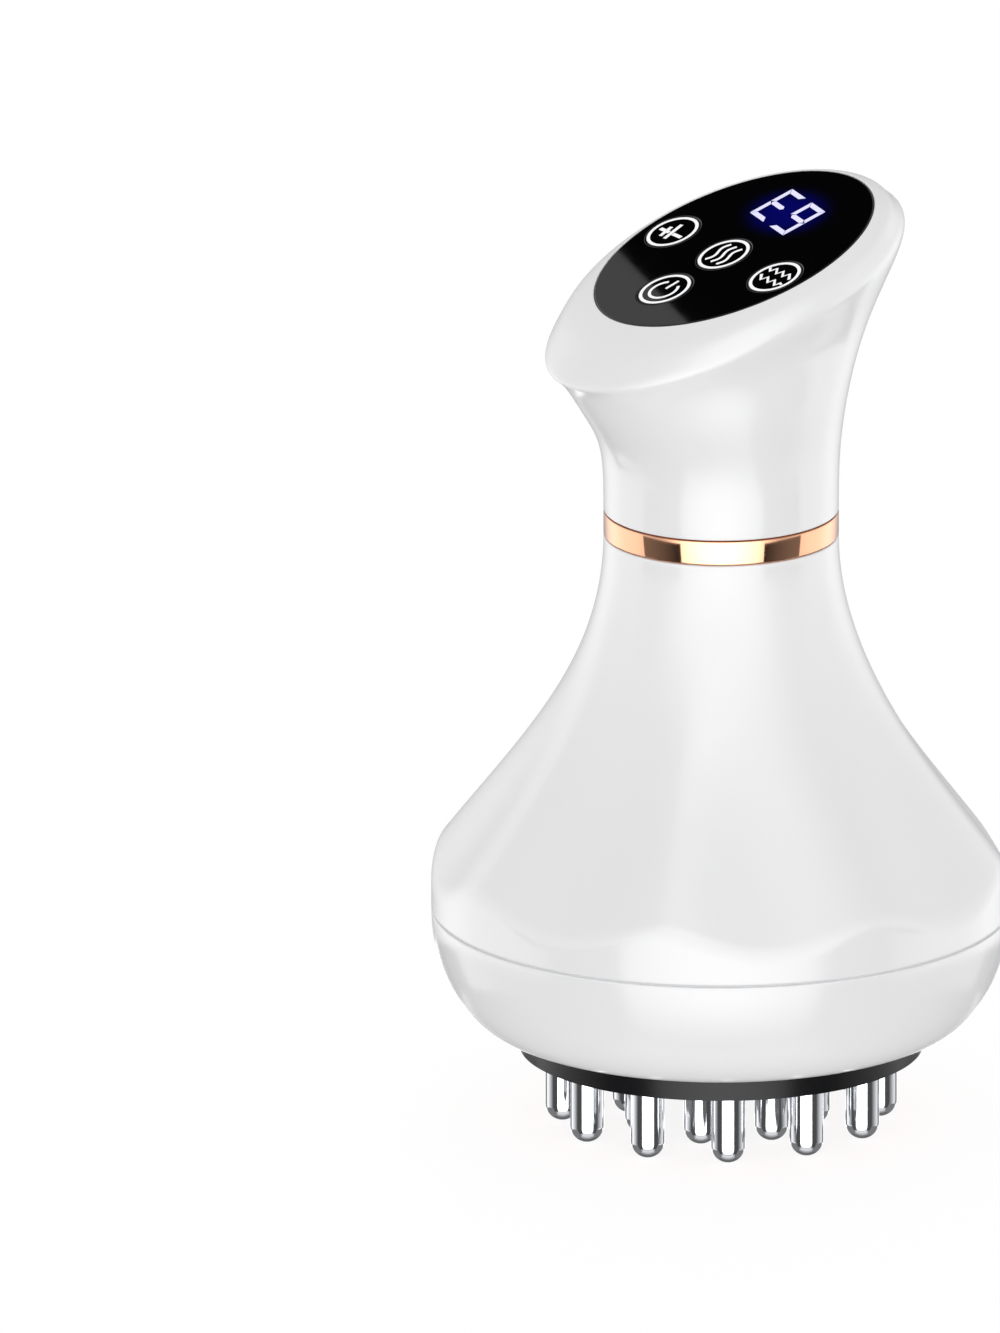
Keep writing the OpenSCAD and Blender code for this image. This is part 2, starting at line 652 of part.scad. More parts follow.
module handle_shell() color("white") difference() {
    outer = [neck_ring(neck_r, band_top_z), neck_ring(neck_r, face_z + neck_end_h),
        neck_ring(waist_r, face_z + waist_h, waist_rise, waist_shift),
        head_ring(throat_length, throat_width, throat_shift, throat_depth, throat_drop),
        head_ring(lip_length, lip_width, lip_shift, lip_depth),
        head_ring(rim_length, rim_width, rim_shift, rim_depth),
        head_ring(brow_length, brow_width, brow_shift, brow_depth),
        head_ring(panel_length/2 + edge_w, panel_width/2 + edge_w, 0, 0)];
    pocket = [panel_length/2 + panel_gap, panel_width/2 + panel_gap];
    wall = shell_wall + 0.6;
    union() {
        skin(concat(between(outer, 3),
            [outer[7],
                head_ring(pocket[0], pocket[1], 0, 0),
                head_ring(pocket[0], pocket[1], 0, seat_depth),
                head_ring(ledge_length, ledge_width, 0, seat_depth),
                head_ring(ledge_length, ledge_width, 0, seat_depth + ledge_t),
                head_ring(rim_length - wall, rim_width - wall, rim_shift, rim_depth + 1),
                head_ring(lip_length - wall, lip_width - wall, lip_shift, lip_depth),
                head_ring(throat_length - wall, throat_width - wall, throat_shift,
                    throat_depth + 1, throat_drop),
                neck_ring(waist_r - wall, face_z + waist_h, waist_rise, waist_shift),
                neck_ring(neck_r - shell_wall, face_z + neck_end_h),
                neck_ring(neck_r - shell_wall, band_top_z)]));
        handle_spigot();
        socket_shelf();
    }
    around(3, neck_screw_ring_r, neck_turn) translate([0, 0, spigot_low_z - eps])
        cylinder(r = screw_r, h = neck_bite + 1 + eps);
    socket_slot();
    board_room();
}

// The way out for the charging socket, through every wall at its height
module socket_slot() translate([0, neck_r/2, socket_axis_z])
    pill(socket_w + 2*socket_gap, socket_shell_h + 2*socket_gap, neck_r);

// The room above the charging board's shelf, which the bosses in the neck keep clear of
module board_room() intersection() {
    translate([0, 0, charge_board_z]) cylinder(r = spigot_r, h = neck_boss_h);
    translate([-spigot_r, cradle_r + cradle_gap, charge_board_z])
        cube([2*spigot_r, spigot_r, neck_boss_h]);
}

// The tube that passes through the band into the bell, with three bosses for the screws
module handle_spigot() {
    rotate_extrude() polygon([[spigot_r - spigot_wall, spigot_low_z], [spigot_r, spigot_low_z],
        [spigot_r, band_top_z], [collar_r, band_top_z], [collar_r, collar_z],
        [spigot_r - spigot_wall, collar_z]]);
    translate([0, 0, spigot_low_z]) intersection() {
        around(3, neck_screw_ring_r, neck_turn) cylinder(r = neck_boss_r, h = neck_boss_h);
        cylinder(r = spigot_r, h = neck_boss_h);
    }
}

// The shelf inside the neck that the charging board lies on, carried by the collar or,
// lower down, by the spigot
module socket_shelf() intersection() {
    back_y = cradle_r + cradle_gap;
    low_z = min(collar_z, charge_shelf_z);
    translate([-shelf_w/2, back_y, low_z])
        cube([shelf_w, collar_r - 1 - back_y, charge_board_z - low_z]);
    neck_inside(min(low_z, band_top_z) - 1, max(charge_board_z, band_top_z) + 1);
}

// What lies inside the spigot and, above the band, inside the collar, from low_z to high_z
module neck_inside(low_z, high_z) rotate_extrude() polygon([[0, low_z], [spigot_r, low_z],
    [spigot_r, band_top_z], [collar_r, band_top_z], [collar_r, high_z], [0, high_z]]);

// A bar along +Y whose section is a slot with round ends
module pill(w, h, l) rotate([-90, 0, 0]) linear_extrude(l) union() {
    square([w - h, h], center = true);
    for (s = [-1, 1]) translate([s*(w - h)/2, 0]) circle(d = h);
}

module charge_socket() color("silver") translate([0, socket_mouth_y - socket_l, socket_axis_z])
    difference() {
        pill(socket_w, socket_shell_h, socket_l);
        translate([0, socket_back_t, 0])
            pill(socket_w - 2*socket_wall, socket_shell_h - 2*socket_wall, socket_l);
    }

module socket_tongue() color([0.15, 0.15, 0.16]) {
    tongue = [6.6, 4.6, 0.7];
    translate([-tongue[0]/2, socket_mouth_y - socket_l + socket_back_t,
        socket_axis_z - tongue[2]/2]) cube(tongue);
}

module charge_board() color("darkgreen") {
    half_w = wire_pass[0] + wire_d/2 + 0.1;
    translate([-half_w, cradle_r + cradle_gap, charge_board_z]) cube([2*half_w, 3.8, charge_board_t]);
}

module control_panel() color([0.03, 0.03, 0.035]) at_panel() difference() {
    union() {
        translate([0, 0, -panel_t]) linear_extrude(panel_t)
            polygon(oval(panel_length/2, panel_width/2));
        for (p = ui_screws) translate([p[0], p[1], -ui_depth])
            cylinder(r = ui_post_r, h = ui_depth - panel_t/2);
    }
    for (k = key_places) translate([k[0], k[1], -panel_t - eps])
        cylinder(r = key_d/2 + key_gap, h = panel_t + 2*eps);
    for (p = ui_screws) translate([p[0], p[1], -ui_depth - eps])
        cylinder(r = screw_r, h = ui_bite + 0.4 + eps);
}

module panel_gasket() color([0.1, 0.1, 0.1]) at_panel() translate([0, 0, -seat_depth])
    linear_extrude(gasket_t) difference() {
        polygon(oval(panel_length/2, panel_width/2));
        polygon(oval(ledge_length + 0.1, ledge_width + 0.1));
    }

// One key: a round cap flush with the panel, a flange that holds it in, and a stem
module key(place) color([0.05, 0.05, 0.055]) at_panel() translate([place[0], place[1], 0]) {
    translate([0, 0, key_under - eps]) cylinder(d = key_d, h = eps - key_under);
    translate([0, 0, key_under - key_flange_t])
        cylinder(r = key_d/2 + key_flange, h = key_flange_t);
    translate([0, 0, plunger_top])
        cylinder(d = stem_d, h = key_under - key_flange_t - plunger_top + eps/2);
}

module plunger(place) color([0.8, 0.2, 0.15]) at_panel()
    translate([place[0], place[1], switch_top - plunger_root])
        cylinder(d = plunger_d, h = plunger_rise + plunger_root);

module power_key() key(key_places[0]);
module intensity_key() key(key_places[1]);
module heat_key() key(key_places[2]);
module mode_key() key(key_places[3]);
module power_plunger() plunger(key_places[0]);
module intensity_plunger() plunger(key_places[1]);
module heat_plunger() plunger(key_places[2]);
module mode_plunger() plunger(key_places[3]);

module key_switches() color("dimgray") at_panel()
    for (k = key_places) translate([k[0], k[1], -ui_depth]) difference() {
        translate([-switch_w/2, -switch_w/2, 0]) cube([switch_w, switch_w, switch_h]);
        translate([0, 0, switch_h - plunger_root - key_travel - 0.2])
            cylinder(r = plunger_d/2 + 0.05, h = switch_h);
    }

module display_module() color([0.12, 0.12, 0.14]) at_panel()
    translate([-display_shift - display_w/2, display_row - display_l/2, -ui_depth])
        cube([display_w, display_l, ui_depth - panel_t - 0.1]);

module ui_board() color("darkgreen") at_panel() translate([0, 0, -ui_depth - board_t])
    difference() {
        linear_extrude(board_t) polygon(oval(ui_half_length, ui_half_width));
        for (p = ui_screws) translate([p[0], p[1], -eps])
            cylinder(r = screw_hole_r, h = board_t + 2*eps);
    }

module ui_board_screws() color("silver") at_panel()
    for (p = ui_screws) translate([p[0], p[1], -ui_depth - board_t]) mirror([0, 0, 1])
        screw(board_t + ui_bite);

module beeper() color([0.1, 0.1, 0.1]) at_panel()
    translate([beeper_place[0], beeper_place[1], -ui_depth - board_t - beeper_h])
        cylinder(d = beeper_d, h = beeper_h);

module pin_plate() color([0.07, 0.07, 0.08]) difference() {
    translate([0, 0, face_z]) rotate_extrude() polygon([[0, 0], [boss_r, 0],
        [boss_r, channel_depth], [plate_r - rim_wall, channel_depth],
        [plate_r - rim_wall, 0], [plate_r, 0], [plate_r, skirt_h],
        [plate_spigot_r, skirt_h], [plate_spigot_r, skirt_h + shell_wall],
        [plate_spigot_r - plate_spigot_wall, skirt_h + shell_wall],
        [plate_spigot_r - plate_spigot_wall, plate_t], [0, plate_t]]);
    stud_holes(face_z, plate_t, fit_gap/2);
    around(outer_pins_n, outer_row_r) translate([0, 0, face_z - eps])
        cylinder(r = pin_d/2 + fit_gap, h = channel_depth + eps);
    around(lamps_n, outer_row_r, lamp_turn) translate([0, 0, face_z])
        cylinder(r = lamp_d/2 + fit_gap, h = plate_t + eps);
    around(4, clamp_ring_r, clamp_turn) translate([0, 0, floor_z - clamp_bite - 0.2])
        cylinder(r = screw_r, h = clamp_bite + 0.2 + eps);
}

// Holes for every stud, from z up through a thickness
module stud_holes(z, t, gap) translate([0, 0, z - eps]) {
    around(outer_pins_n, outer_row_r) cylinder(r = stud_d/2 + gap, h = t + 2*eps);
    around(inner_pins_n, inner_row_r) cylinder(r = stud_d/2 + gap, h = t + 2*eps);
    cylinder(r = stud_d/2 + gap, h = t + 2*eps);
}

module light_ring() color([0.9, 0.1, 0.06]) difference() {
    translate([0, 0, face_z]) rotate_extrude() polygon([[boss_r + fit_gap, glow_depth],
        [bevel_in_r, glow_depth], [bevel_out_r, glow_band_depth],
        [plate_r - rim_wall - fit_gap, glow_band_depth],
        [plate_r - rim_wall - fit_gap, channel_depth], [boss_r + fit_gap, channel_depth]]);
    around(outer_pins_n, outer_row_r) translate([0, 0, face_z])
        cylinder(r = pin_d/2 + fit_gap, h = channel_depth + eps);
    around(lamps_n, outer_row_r, lamp_turn) translate([0, 0, face_z])
        cylinder(r = lamp_d/2 + fit_gap, h = channel_depth + eps);
}

module red_lamps() color([1, 0.25, 0.1]) around(lamps_n, outer_row_r, lamp_turn) {
    tip_z = face_z + glow_depth - 0.5;
    translate([0, 0, tip_z + lamp_d/2]) sphere(d = lamp_d);
    translate([0, 0, tip_z + lamp_d/2])
        cylinder(d = lamp_d, h = film_z + film_t - tip_z - lamp_d/2);
}

// A pin: a domed rod down to the floor, a collar at its root and a threaded stud above
module pin(d, root_z, collar) rotate_extrude() polygon(concat(
    [for (i = [0:12]) let (a = 90*i/12) [d/2*sin(a), d/2*(1 - cos(a))]],
    collar > 0 ? [[d/2, root_z - pin_collar_h], [d/2 + collar, root_z - pin_collar_h],
        [d/2 + collar, root_z]] : [[d/2, root_z]],
    [[stud_d/2, root_z], [stud_d/2, nut_top_z + 0.6], [0, nut_top_z + 0.6]]));

module outer_pins() color("silver") around(outer_pins_n, outer_row_r)
    pin(pin_d, face_z + channel_depth, 0);
module inner_pins() color("silver") around(inner_pins_n, inner_row_r)
    pin(pin_d, face_z, pin_collar_w);
module centre_pin() color("silver") pin(centre_pin_d, face_z, pin_collar_w);

module pin_nuts() color("goldenrod") difference() {
    translate([0, 0, nut_z]) {
        around(outer_pins_n, outer_row_r) cylinder(d = nut_w/cos(30), h = nut_t, $fn = 6);
        around(inner_pins_n, inner_row_r) cylinder(d = nut_w/cos(30), h = nut_t, $fn = 6);
        cylinder(d = nut_w/cos(30), h = nut_t, $fn = 6);
    }
    stud_holes(nut_z, nut_t, fit_gap/4);
}

module heating_film() color([0.85, 0.5, 0.15]) difference() {
    translate([0, 0, film_z]) cylinder(r = board_r, h = film_t);
    stud_holes(film_z, film_t, 2*fit_gap);
    around(lamps_n, outer_row_r, lamp_turn) translate([0, 0, film_z - eps])
        cylinder(r = lamp_d/2 + fit_gap, h = film_t + 2*eps);
}

module electrode_board() color("darkgreen") difference() {
    translate([0, 0, electrode_z]) cylinder(r = board_r, h = board_t);
    stud_holes(electrode_z, board_t, fit_gap);
}

module clamp_ring() color("gray") difference() {
    translate([0, 0, floor_z]) tube(clamp_out_r, clamp_in_r, clamp_t);
    around(4, clamp_ring_r, clamp_turn) translate([0, 0, floor_z - eps])
        cylinder(r = screw_hole_r, h = clamp_t + 2*eps);
    around(4, frame_ring_r, boss_turn) translate([0, 0, floor_z - eps])
        cylinder(r = frame_boss_r + fit_gap, h = clamp_t + 2*eps);
}

module clamp_screws() color("silver") around(4, clamp_ring_r, clamp_turn)
    translate([0, 0, floor_z + clamp_t]) screw(clamp_t + clamp_bite);

module motor_frame() color("lightgray") difference() {
    union() {
        translate([0, 0, frame_z]) cylinder(r = frame_r, h = frame_t);
        around(4, post_ring_r) translate([0, 0, motor_z]) cylinder(r = post_r, h = driver_z - motor_z);
    }
    translate([0, 0, frame_z - eps]) {
        cylinder(r = bearing_r + 1.5, h = frame_t + 2*eps);
        around(2, motor_screw_ring_r) cylinder(r = screw_hole_r, h = frame_t + 2*eps);
        around(4, frame_ring_r, boss_turn)
            cylinder(r = frame_screw_r + screw_gap, h = frame_t + 2*eps);
        around(2, electrode_ring_r, electrode_turn)
            cylinder(r = wire_d/2 + 0.8, h = frame_t + 2*eps);
    }
    around(4, post_ring_r) translate([0, 0, driver_z - driver_bite - 1])
        cylinder(r = screw_r, h = driver_bite + 1 + eps);
}

module frame_screws() color("silver") around(4, frame_ring_r, boss_turn)
    translate([0, 0, motor_z])
        screw(frame_t + frame_bite, frame_screw_r, frame_head_r, frame_head_h);

module motor_can() color("silver") translate([0, 0, motor_z]) difference() {
    cylinder(d = motor_d, h = motor_l);
    translate([0, 0, bearing_t]) cylinder(r = motor_d/2 - can_wall, h = motor_l);
    translate([0, 0, -eps]) cylinder(r = bearing_r, h = bearing_t + 2*eps);
    around(2, motor_screw_ring_r) translate([0, 0, -eps]) cylinder(r = screw_r, h = 2 + eps);
}

module motor_cap() color([0.2, 0.2, 0.22]) translate([0, 0, motor_top_z])
    tube(motor_d/2, bearing_r, bearing_t);

module motor_bearings() color("peru") for (z = [motor_z, motor_top_z])
    translate([0, 0, z]) tube(bearing_r, shaft_d/2 + shaft_gap, bearing_t);

// Two curved magnets, stuck to the can's wall
module motor_magnets() color([0.25, 0.25, 0.28]) translate([0, 0, motor_z + bearing_t + 1.5])
    difference() {
        tube(motor_d/2 - can_wall - 0.05, magnet_in_r, motor_l - 2*bearing_t - 1);
        translate([-motor_d/2, -3, -eps]) cube([motor_d, 6, motor_l]);
    }

module motor_screws() color("silver") around(2, motor_screw_ring_r) translate([0, 0, frame_z])
    mirror([0, 0, 1]) screw(frame_t + 1.8);

module motor_shaft() color("lightgray") translate([0, 0, shaft_low_z])
    cylinder(d = shaft_d, h = shaft_top_z - shaft_low_z);

// The wound rotor with three slots, and the smaller commutator above it
module motor_rotor() color([0.5, 0.32, 0.18]) difference() {
    core_r = magnet_in_r - 0.4;
    core_top_z = motor_top_z - 4.5;
    union() {
        translate([0, 0, motor_z + 4.5]) cylinder(r = core_r, h = motor_l - 9);
        translate([0, 0, core_top_z]) cylinder(r = bearing_r + 0.3, h = 3.6);
    }
    around(3, core_r, 30) translate([-5, -1, motor_z]) cube([8, 2, core_top_z - motor_z]);
    translate([0, 0, motor_z]) cylinder(d = shaft_d, h = motor_l);
}

module eccentric_weight() color("dimgray") translate([0, 0, weight_z]) difference() {
    union() {
        intersection() {
            cylinder(r = weight_r, h = weight_t);
            translate([0, -weight_r, 0]) cube([weight_r, 2*weight_r, weight_t]);
        }
        cylinder(r = shaft_d/2 + 2.4, h = weight_t);
    }
    translate([0, 0, -eps]) cylinder(d = shaft_d, h = weight_t + 2*eps);
}

module driver_board() color("darkgreen") difference() {
    translate([0, 0, driver_z]) tube(driver_d/2, motor_d/2 + 1.5, board_t);
    around(4, post_ring_r) translate([0, 0, driver_z - eps])
        cylinder(r = screw_hole_r, h = board_t + 2*eps);
}

module driver_board_screws() color("silver") around(4, post_ring_r)
    translate([0, 0, driver_top_z]) screw(board_t + driver_bite);

module control_chip() color([0.1, 0.1, 0.1])
    translate([-chip_w/2, motor_d/2 + 4, driver_top_z]) cube([chip_w, chip_w, chip_t]);

module boost_transformer() color([0.75, 0.6, 0.15])
    translate([-motor_d/2 - 3.5 - transformer_w, -transformer_l/2, driver_top_z])
        cube([transformer_w, transformer_l, transformer_h]);

module capacitors() color([0.15, 0.2, 0.4])
    for (p = capacitor_places) translate([p[0], p[1], driver_top_z])
        cylinder(d = capacitor_d, h = capacitor_h);

module board_connectors() color("ivory") {
    pairs = [battery_plug, motor_plug];
    for (p = concat(pairs, [for (p = pairs) [-p[0], p[1]]], [charge_plug]))
        translate([p[0] - connector_size[0]/2, p[1] - connector_size[1]/2, driver_top_z])
            cube(connector_size);
    translate([-ribbon_w/2 - 2, ribbon_plug_y - connector_size[1]/2, driver_top_z])
        cube([ribbon_w + 4, connector_size[1], connector_size[2]]);
}

module battery_cell() color([0.2, 0.45, 0.7]) translate([0, 0, cell_z])
    cylinder(d = cell_d, h = cell_l);

module battery_contacts() color("gainsboro")
    for (z = [cell_z - contact_t, cell_z + cell_l]) translate([0, 0, z])
        cylinder(r = cell_d/3, h = contact_t);

// A cup round the cell with a closed floor and lid, a window low down and a flange
module battery_cradle() color("lightgray") difference() {
    low_z = cell_z - contact_t - cradle_wall;
    height = cell_l + 2*contact_t + 2*cradle_wall;
    window = [cradle_r, 12, spigot_low_z - cell_z - flange_t - 2];
    union() {
        translate([0, 0, low_z]) cylinder(r = cradle_r, h = height);
        translate([0, 0, spigot_low_z - flange_t]) cylinder(r = spigot_r - 0.1, h = flange_t);
    }
    translate([0, 0, cell_z - contact_t]) cylinder(r = cradle_in_r, h = cell_l + 2*contact_t);
    translate([-cradle_r - eps, -window[1]/2, cell_z - contact_t]) cube(window);
    for (s = [-1, 1]) translate([s*battery_route[0][0], battery_route[0][1], low_z - eps])
        cylinder(r = wire_d/2 + 0.2, h = cradle_wall + 2*eps);
    around(3, neck_screw_ring_r, neck_turn) translate([0, 0, spigot_low_z - flange_t - eps])
        cylinder(r = screw_hole_r + 0.2, h = flange_t + 2*eps);
    neck_passages(spigot_low_z - flange_t);
}

module neck_screws() color("silver") around(3, neck_screw_ring_r, neck_turn)
    translate([0, 0, shelf_z]) mirror([0, 0, 1])
        screw(2*flange_t + neck_bite);

// The same point on the other side of the YZ plane, for s = -1
function flip(p, s) = [s*p[0], p[1], p[2]];

module battery_wires() color("crimson") for (s = [-1, 1])
    wire(curve([for (p = battery_route) flip(p, s)]), [s, -1, 0]);

module motor_wires() color([0.2, 0.3, 0.7]) for (s = [-1, 1])
    wire(curve([for (p = motor_route) flip(p, s)]), [s, 1, 0], start = [0, 0, 1]);

module electrode_wires() color([0.85, 0.7, 0.2]) around(2, electrode_ring_r, electrode_turn)
    wire(curve(electrode_route, 8), [0, 1, 0], [0, 0, 1], [0, 0, 1]);

module charge_wires() color([0.2, 0.2, 0.2])
    wire(concat([[wire_pass[0], wire_pass[1], charge_board_z]], curve(charge_route)), [1, 0, 0]);

// The flat ribbon from the key board down the neck to the driver board, thickened from a path
module panel_ribbon() color([0.9, 0.9, 0.92]) rotate([90, 0, 90])
    translate([0, 0, -ribbon_w/2]) linear_extrude(ribbon_w) {
        start = head_point(0, ribbon_row, -ui_depth - board_t);
        from = [start[1], start[2]];
        path = concat(
            curve([from, from + [1, -3], [ribbon_y, from[1] - 12], [ribbon_y, from[1] - 20]], 8),
            curve([[ribbon_y, below_shelf_z], [ribbon_y, below_shelf_z - 17],
                [ribbon_plug_y, connector_top_z + 16], [ribbon_plug_y, connector_top_z]], 8));
        last = len(path) - 1;
        side = [for (t = directions(path, [sin(tilt), -cos(tilt)], [0, -1]))
            ribbon_t/2*[-t[1], t[0]]];
        polygon(concat([for (i = [0:last]) path[i] + side[i]],
            [for (i = [last:-1:0]) path[i] - side[i]]));
    }

handle_shell();
gold_band();
bell_shell();
base_shell();
seam_seal();
control_panel();
panel_gasket();
power_key();
intensity_key();
heat_key();
mode_key();
power_plunger();
intensity_plunger();
heat_plunger();
mode_plunger();
key_switches();
display_module();
ui_board();
ui_board_screws();
beeper();
pin_plate();
light_ring();
outer_pins();
inner_pins();
centre_pin();
pin_nuts();
heating_film();
electrode_board();
red_lamps();
clamp_ring();
clamp_screws();
motor_frame();
frame_screws();
motor_can();
motor_cap();
motor_bearings();
motor_magnets();
motor_screws();
motor_shaft();
motor_rotor();
eccentric_weight();
driver_board();
driver_board_screws();
control_chip();
boost_transformer();
capacitors();
board_connectors();
battery_cell();
battery_cradle();
battery_contacts();
neck_screws();
charge_socket();
socket_tongue();
charge_board();
battery_wires();
motor_wires();
electrode_wires();
charge_wires();
panel_ribbon();
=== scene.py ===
"""A handheld drainage massager on its pins, dressed for a studio photograph.

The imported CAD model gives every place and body. The shells, the seal, the metal band, the
glossy panel, the keys with their prints, the display's digits and the pins are surfaces
worked out here; the other nodes keep their CAD shape and get a material. Lengths are in
metres, and sizes are written in millimetres through the function size.
"""

import math

import bmesh
import bpy
import numpy as np
from mathutils import Matrix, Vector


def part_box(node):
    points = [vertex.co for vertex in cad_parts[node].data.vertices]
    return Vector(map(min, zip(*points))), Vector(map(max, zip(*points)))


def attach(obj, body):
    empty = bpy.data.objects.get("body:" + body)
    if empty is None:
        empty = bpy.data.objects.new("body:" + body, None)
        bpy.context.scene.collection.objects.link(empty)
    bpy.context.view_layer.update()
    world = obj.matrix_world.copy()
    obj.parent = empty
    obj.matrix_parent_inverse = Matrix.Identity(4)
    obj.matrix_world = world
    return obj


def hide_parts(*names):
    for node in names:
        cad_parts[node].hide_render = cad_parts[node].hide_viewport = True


bl_info = {
    "name": "Drainage massager",
    "version": (1, 0, 0),
    "blender": (4, 5, 0),
    "location": "3D View > Sidebar > Massager",
    "description": "Dresses the massager's frame with its shells, panel, prints and pins",
    "category": "Object",
}

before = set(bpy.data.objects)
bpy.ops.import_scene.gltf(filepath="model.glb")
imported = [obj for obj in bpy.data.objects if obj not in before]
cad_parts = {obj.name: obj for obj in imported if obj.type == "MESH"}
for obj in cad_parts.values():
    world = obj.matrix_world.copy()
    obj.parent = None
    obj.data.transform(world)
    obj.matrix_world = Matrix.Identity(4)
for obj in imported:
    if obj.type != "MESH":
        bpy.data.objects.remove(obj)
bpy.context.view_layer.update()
MM = 0.001
TURN = 2*math.pi
PHOTO = np.array([1000, 1333])


def box_mm(node, corner, axis):
    """One coordinate of a CAD node's box, in millimetres."""
    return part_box(node)[corner][axis]/MM


def size(name, description, mm):
    """A length property, its default given in millimetres."""
    return bpy.props.FloatProperty(name=name, description=description, default=mm*MM,
                                   precision=5, subtype="DISTANCE", unit="LENGTH")


def number(name, description, default):
    """A property that is a plain number."""
    return bpy.props.FloatProperty(name=name, description=description, default=default)


def turn(name, description, degrees):
    """An angle property, its default given in degrees."""
    return bpy.props.FloatProperty(name=name, description=description,
                                   default=math.radians(degrees), subtype="ANGLE")


def linear(code):
    """Linear red, green and blue of an sRGB colour written as six hexadecimal digits."""
    levels = [int(code[i:i + 2], 16)/255 for i in (0, 2, 4)]
    return [v/12.92 if v <= 0.04045 else ((v + 0.055)/1.055)**2.4 for v in levels]


def colour(name, description, code):
    """A colour property, its default given as an sRGB hex code."""
    return bpy.props.FloatVectorProperty(name=name, description=description, size=3,
                                         default=linear(code), min=0, max=1, subtype="COLOR")


class BaseSizes(bpy.types.PropertyGroup):
    """Sizes of the round base and the fluted bell"""
    face_z: size("Pin face height", "Height of the flat face between the pins",
                 box_mm("pin_plate", 0, 2))
    radius: size("Base radius", "Radius at the widest part", box_mm("bell_shell", 1, 0))
    foot_r: size("Foot radius", "Radius of the underside where it meets the black plate", 35)
    skirt_h: size("Skirt height", "Height of the black plate's side below the base", 4)
    belly_h: size("Belly height", "Height above the pin face of the widest part", 25.9)
    fullness: number("Fullness", "Power of the underside's curve, 2 is an ellipse", 2.2)
    seam_h: size("Seam height", "Height above the pin face of the seam", 24.9)
    seam_t: size("Seam gap", "Gap between base and bell, filled by the seal", 0.3)
    bead_depth: size("Bead depth", "Depth of the seal's bead in the seam", 0.24)
    wall: size("Wall", "Wall of the shells", 2.4)
    shoulder_h: size("Shoulder height", "Height above the pin face of the ridges' shoulder", 35.9)
    shoulder_r: size("Shoulder radius", "Radius that rounds the shoulder", 6)
    flare_turn: turn("Flare angle", "Angle between flare and vertical at the shoulder", 37.5)
    flare_pull: size("Flare pull", "Straight pull of the curve above the shoulder", 21.8)
    neck_pull: size("Neck pull", "Straight pull of the curve below the band", 23.4)
    flutes: bpy.props.IntProperty(
        name="Flutes", description="Number of shallow flutes round the bell", default=8)
    flute_dip: size("Flute dip", "How far the shoulder dips between two ridges", 4)
    flute_reach: number("Flute reach", "Share of the flare that the flutes reach", 0.9)
    flute_softness: number("Flute softness", "Softness of the ridges, 1 is a sine", 0.8)
    edge: size("Edge rounding", "Rounding of the shells' edges at seam and band", 0.35)
    wire_hole_r: size("Wire hole", "Radius of the hole in the bell's inner floor", 11.55)
    lip_gap: size("Lip gap", "Gap round the base's inner lip", 0.2)
    lip_t: size("Lip thickness", "Thickness of the base's inner lip", 1.4)
    lip_h: size("Lip height", "Height of the lip above the seam", 3)
    lip_depth: size("Lip depth", "Height of the lip's straight inner side", 4)
    floor_r: size("Floor radius", "Radius of the base's flat inner floor", 36.5)
    opening_r: size("Opening radius", "Radius of the base's opening for the pin plate", 33.3)
    opening_edge: size("Opening's edge", "Bevel of that opening", 0.3)
    boss_ring: size("Boss ring", "Distance of the base's screw bosses from the axis", 40.5)
    boss_r: size("Boss radius", "Radius of those bosses", 3.4)
    boss_bore: size("Boss bore", "Radius of their bores", 1.3)
    boss_low: size("Boss foot", "Height of their lower ends above the skirt", 4.6)
    boss_top: size("Boss end", "Height of their upper ends above the pin face", 21.4)


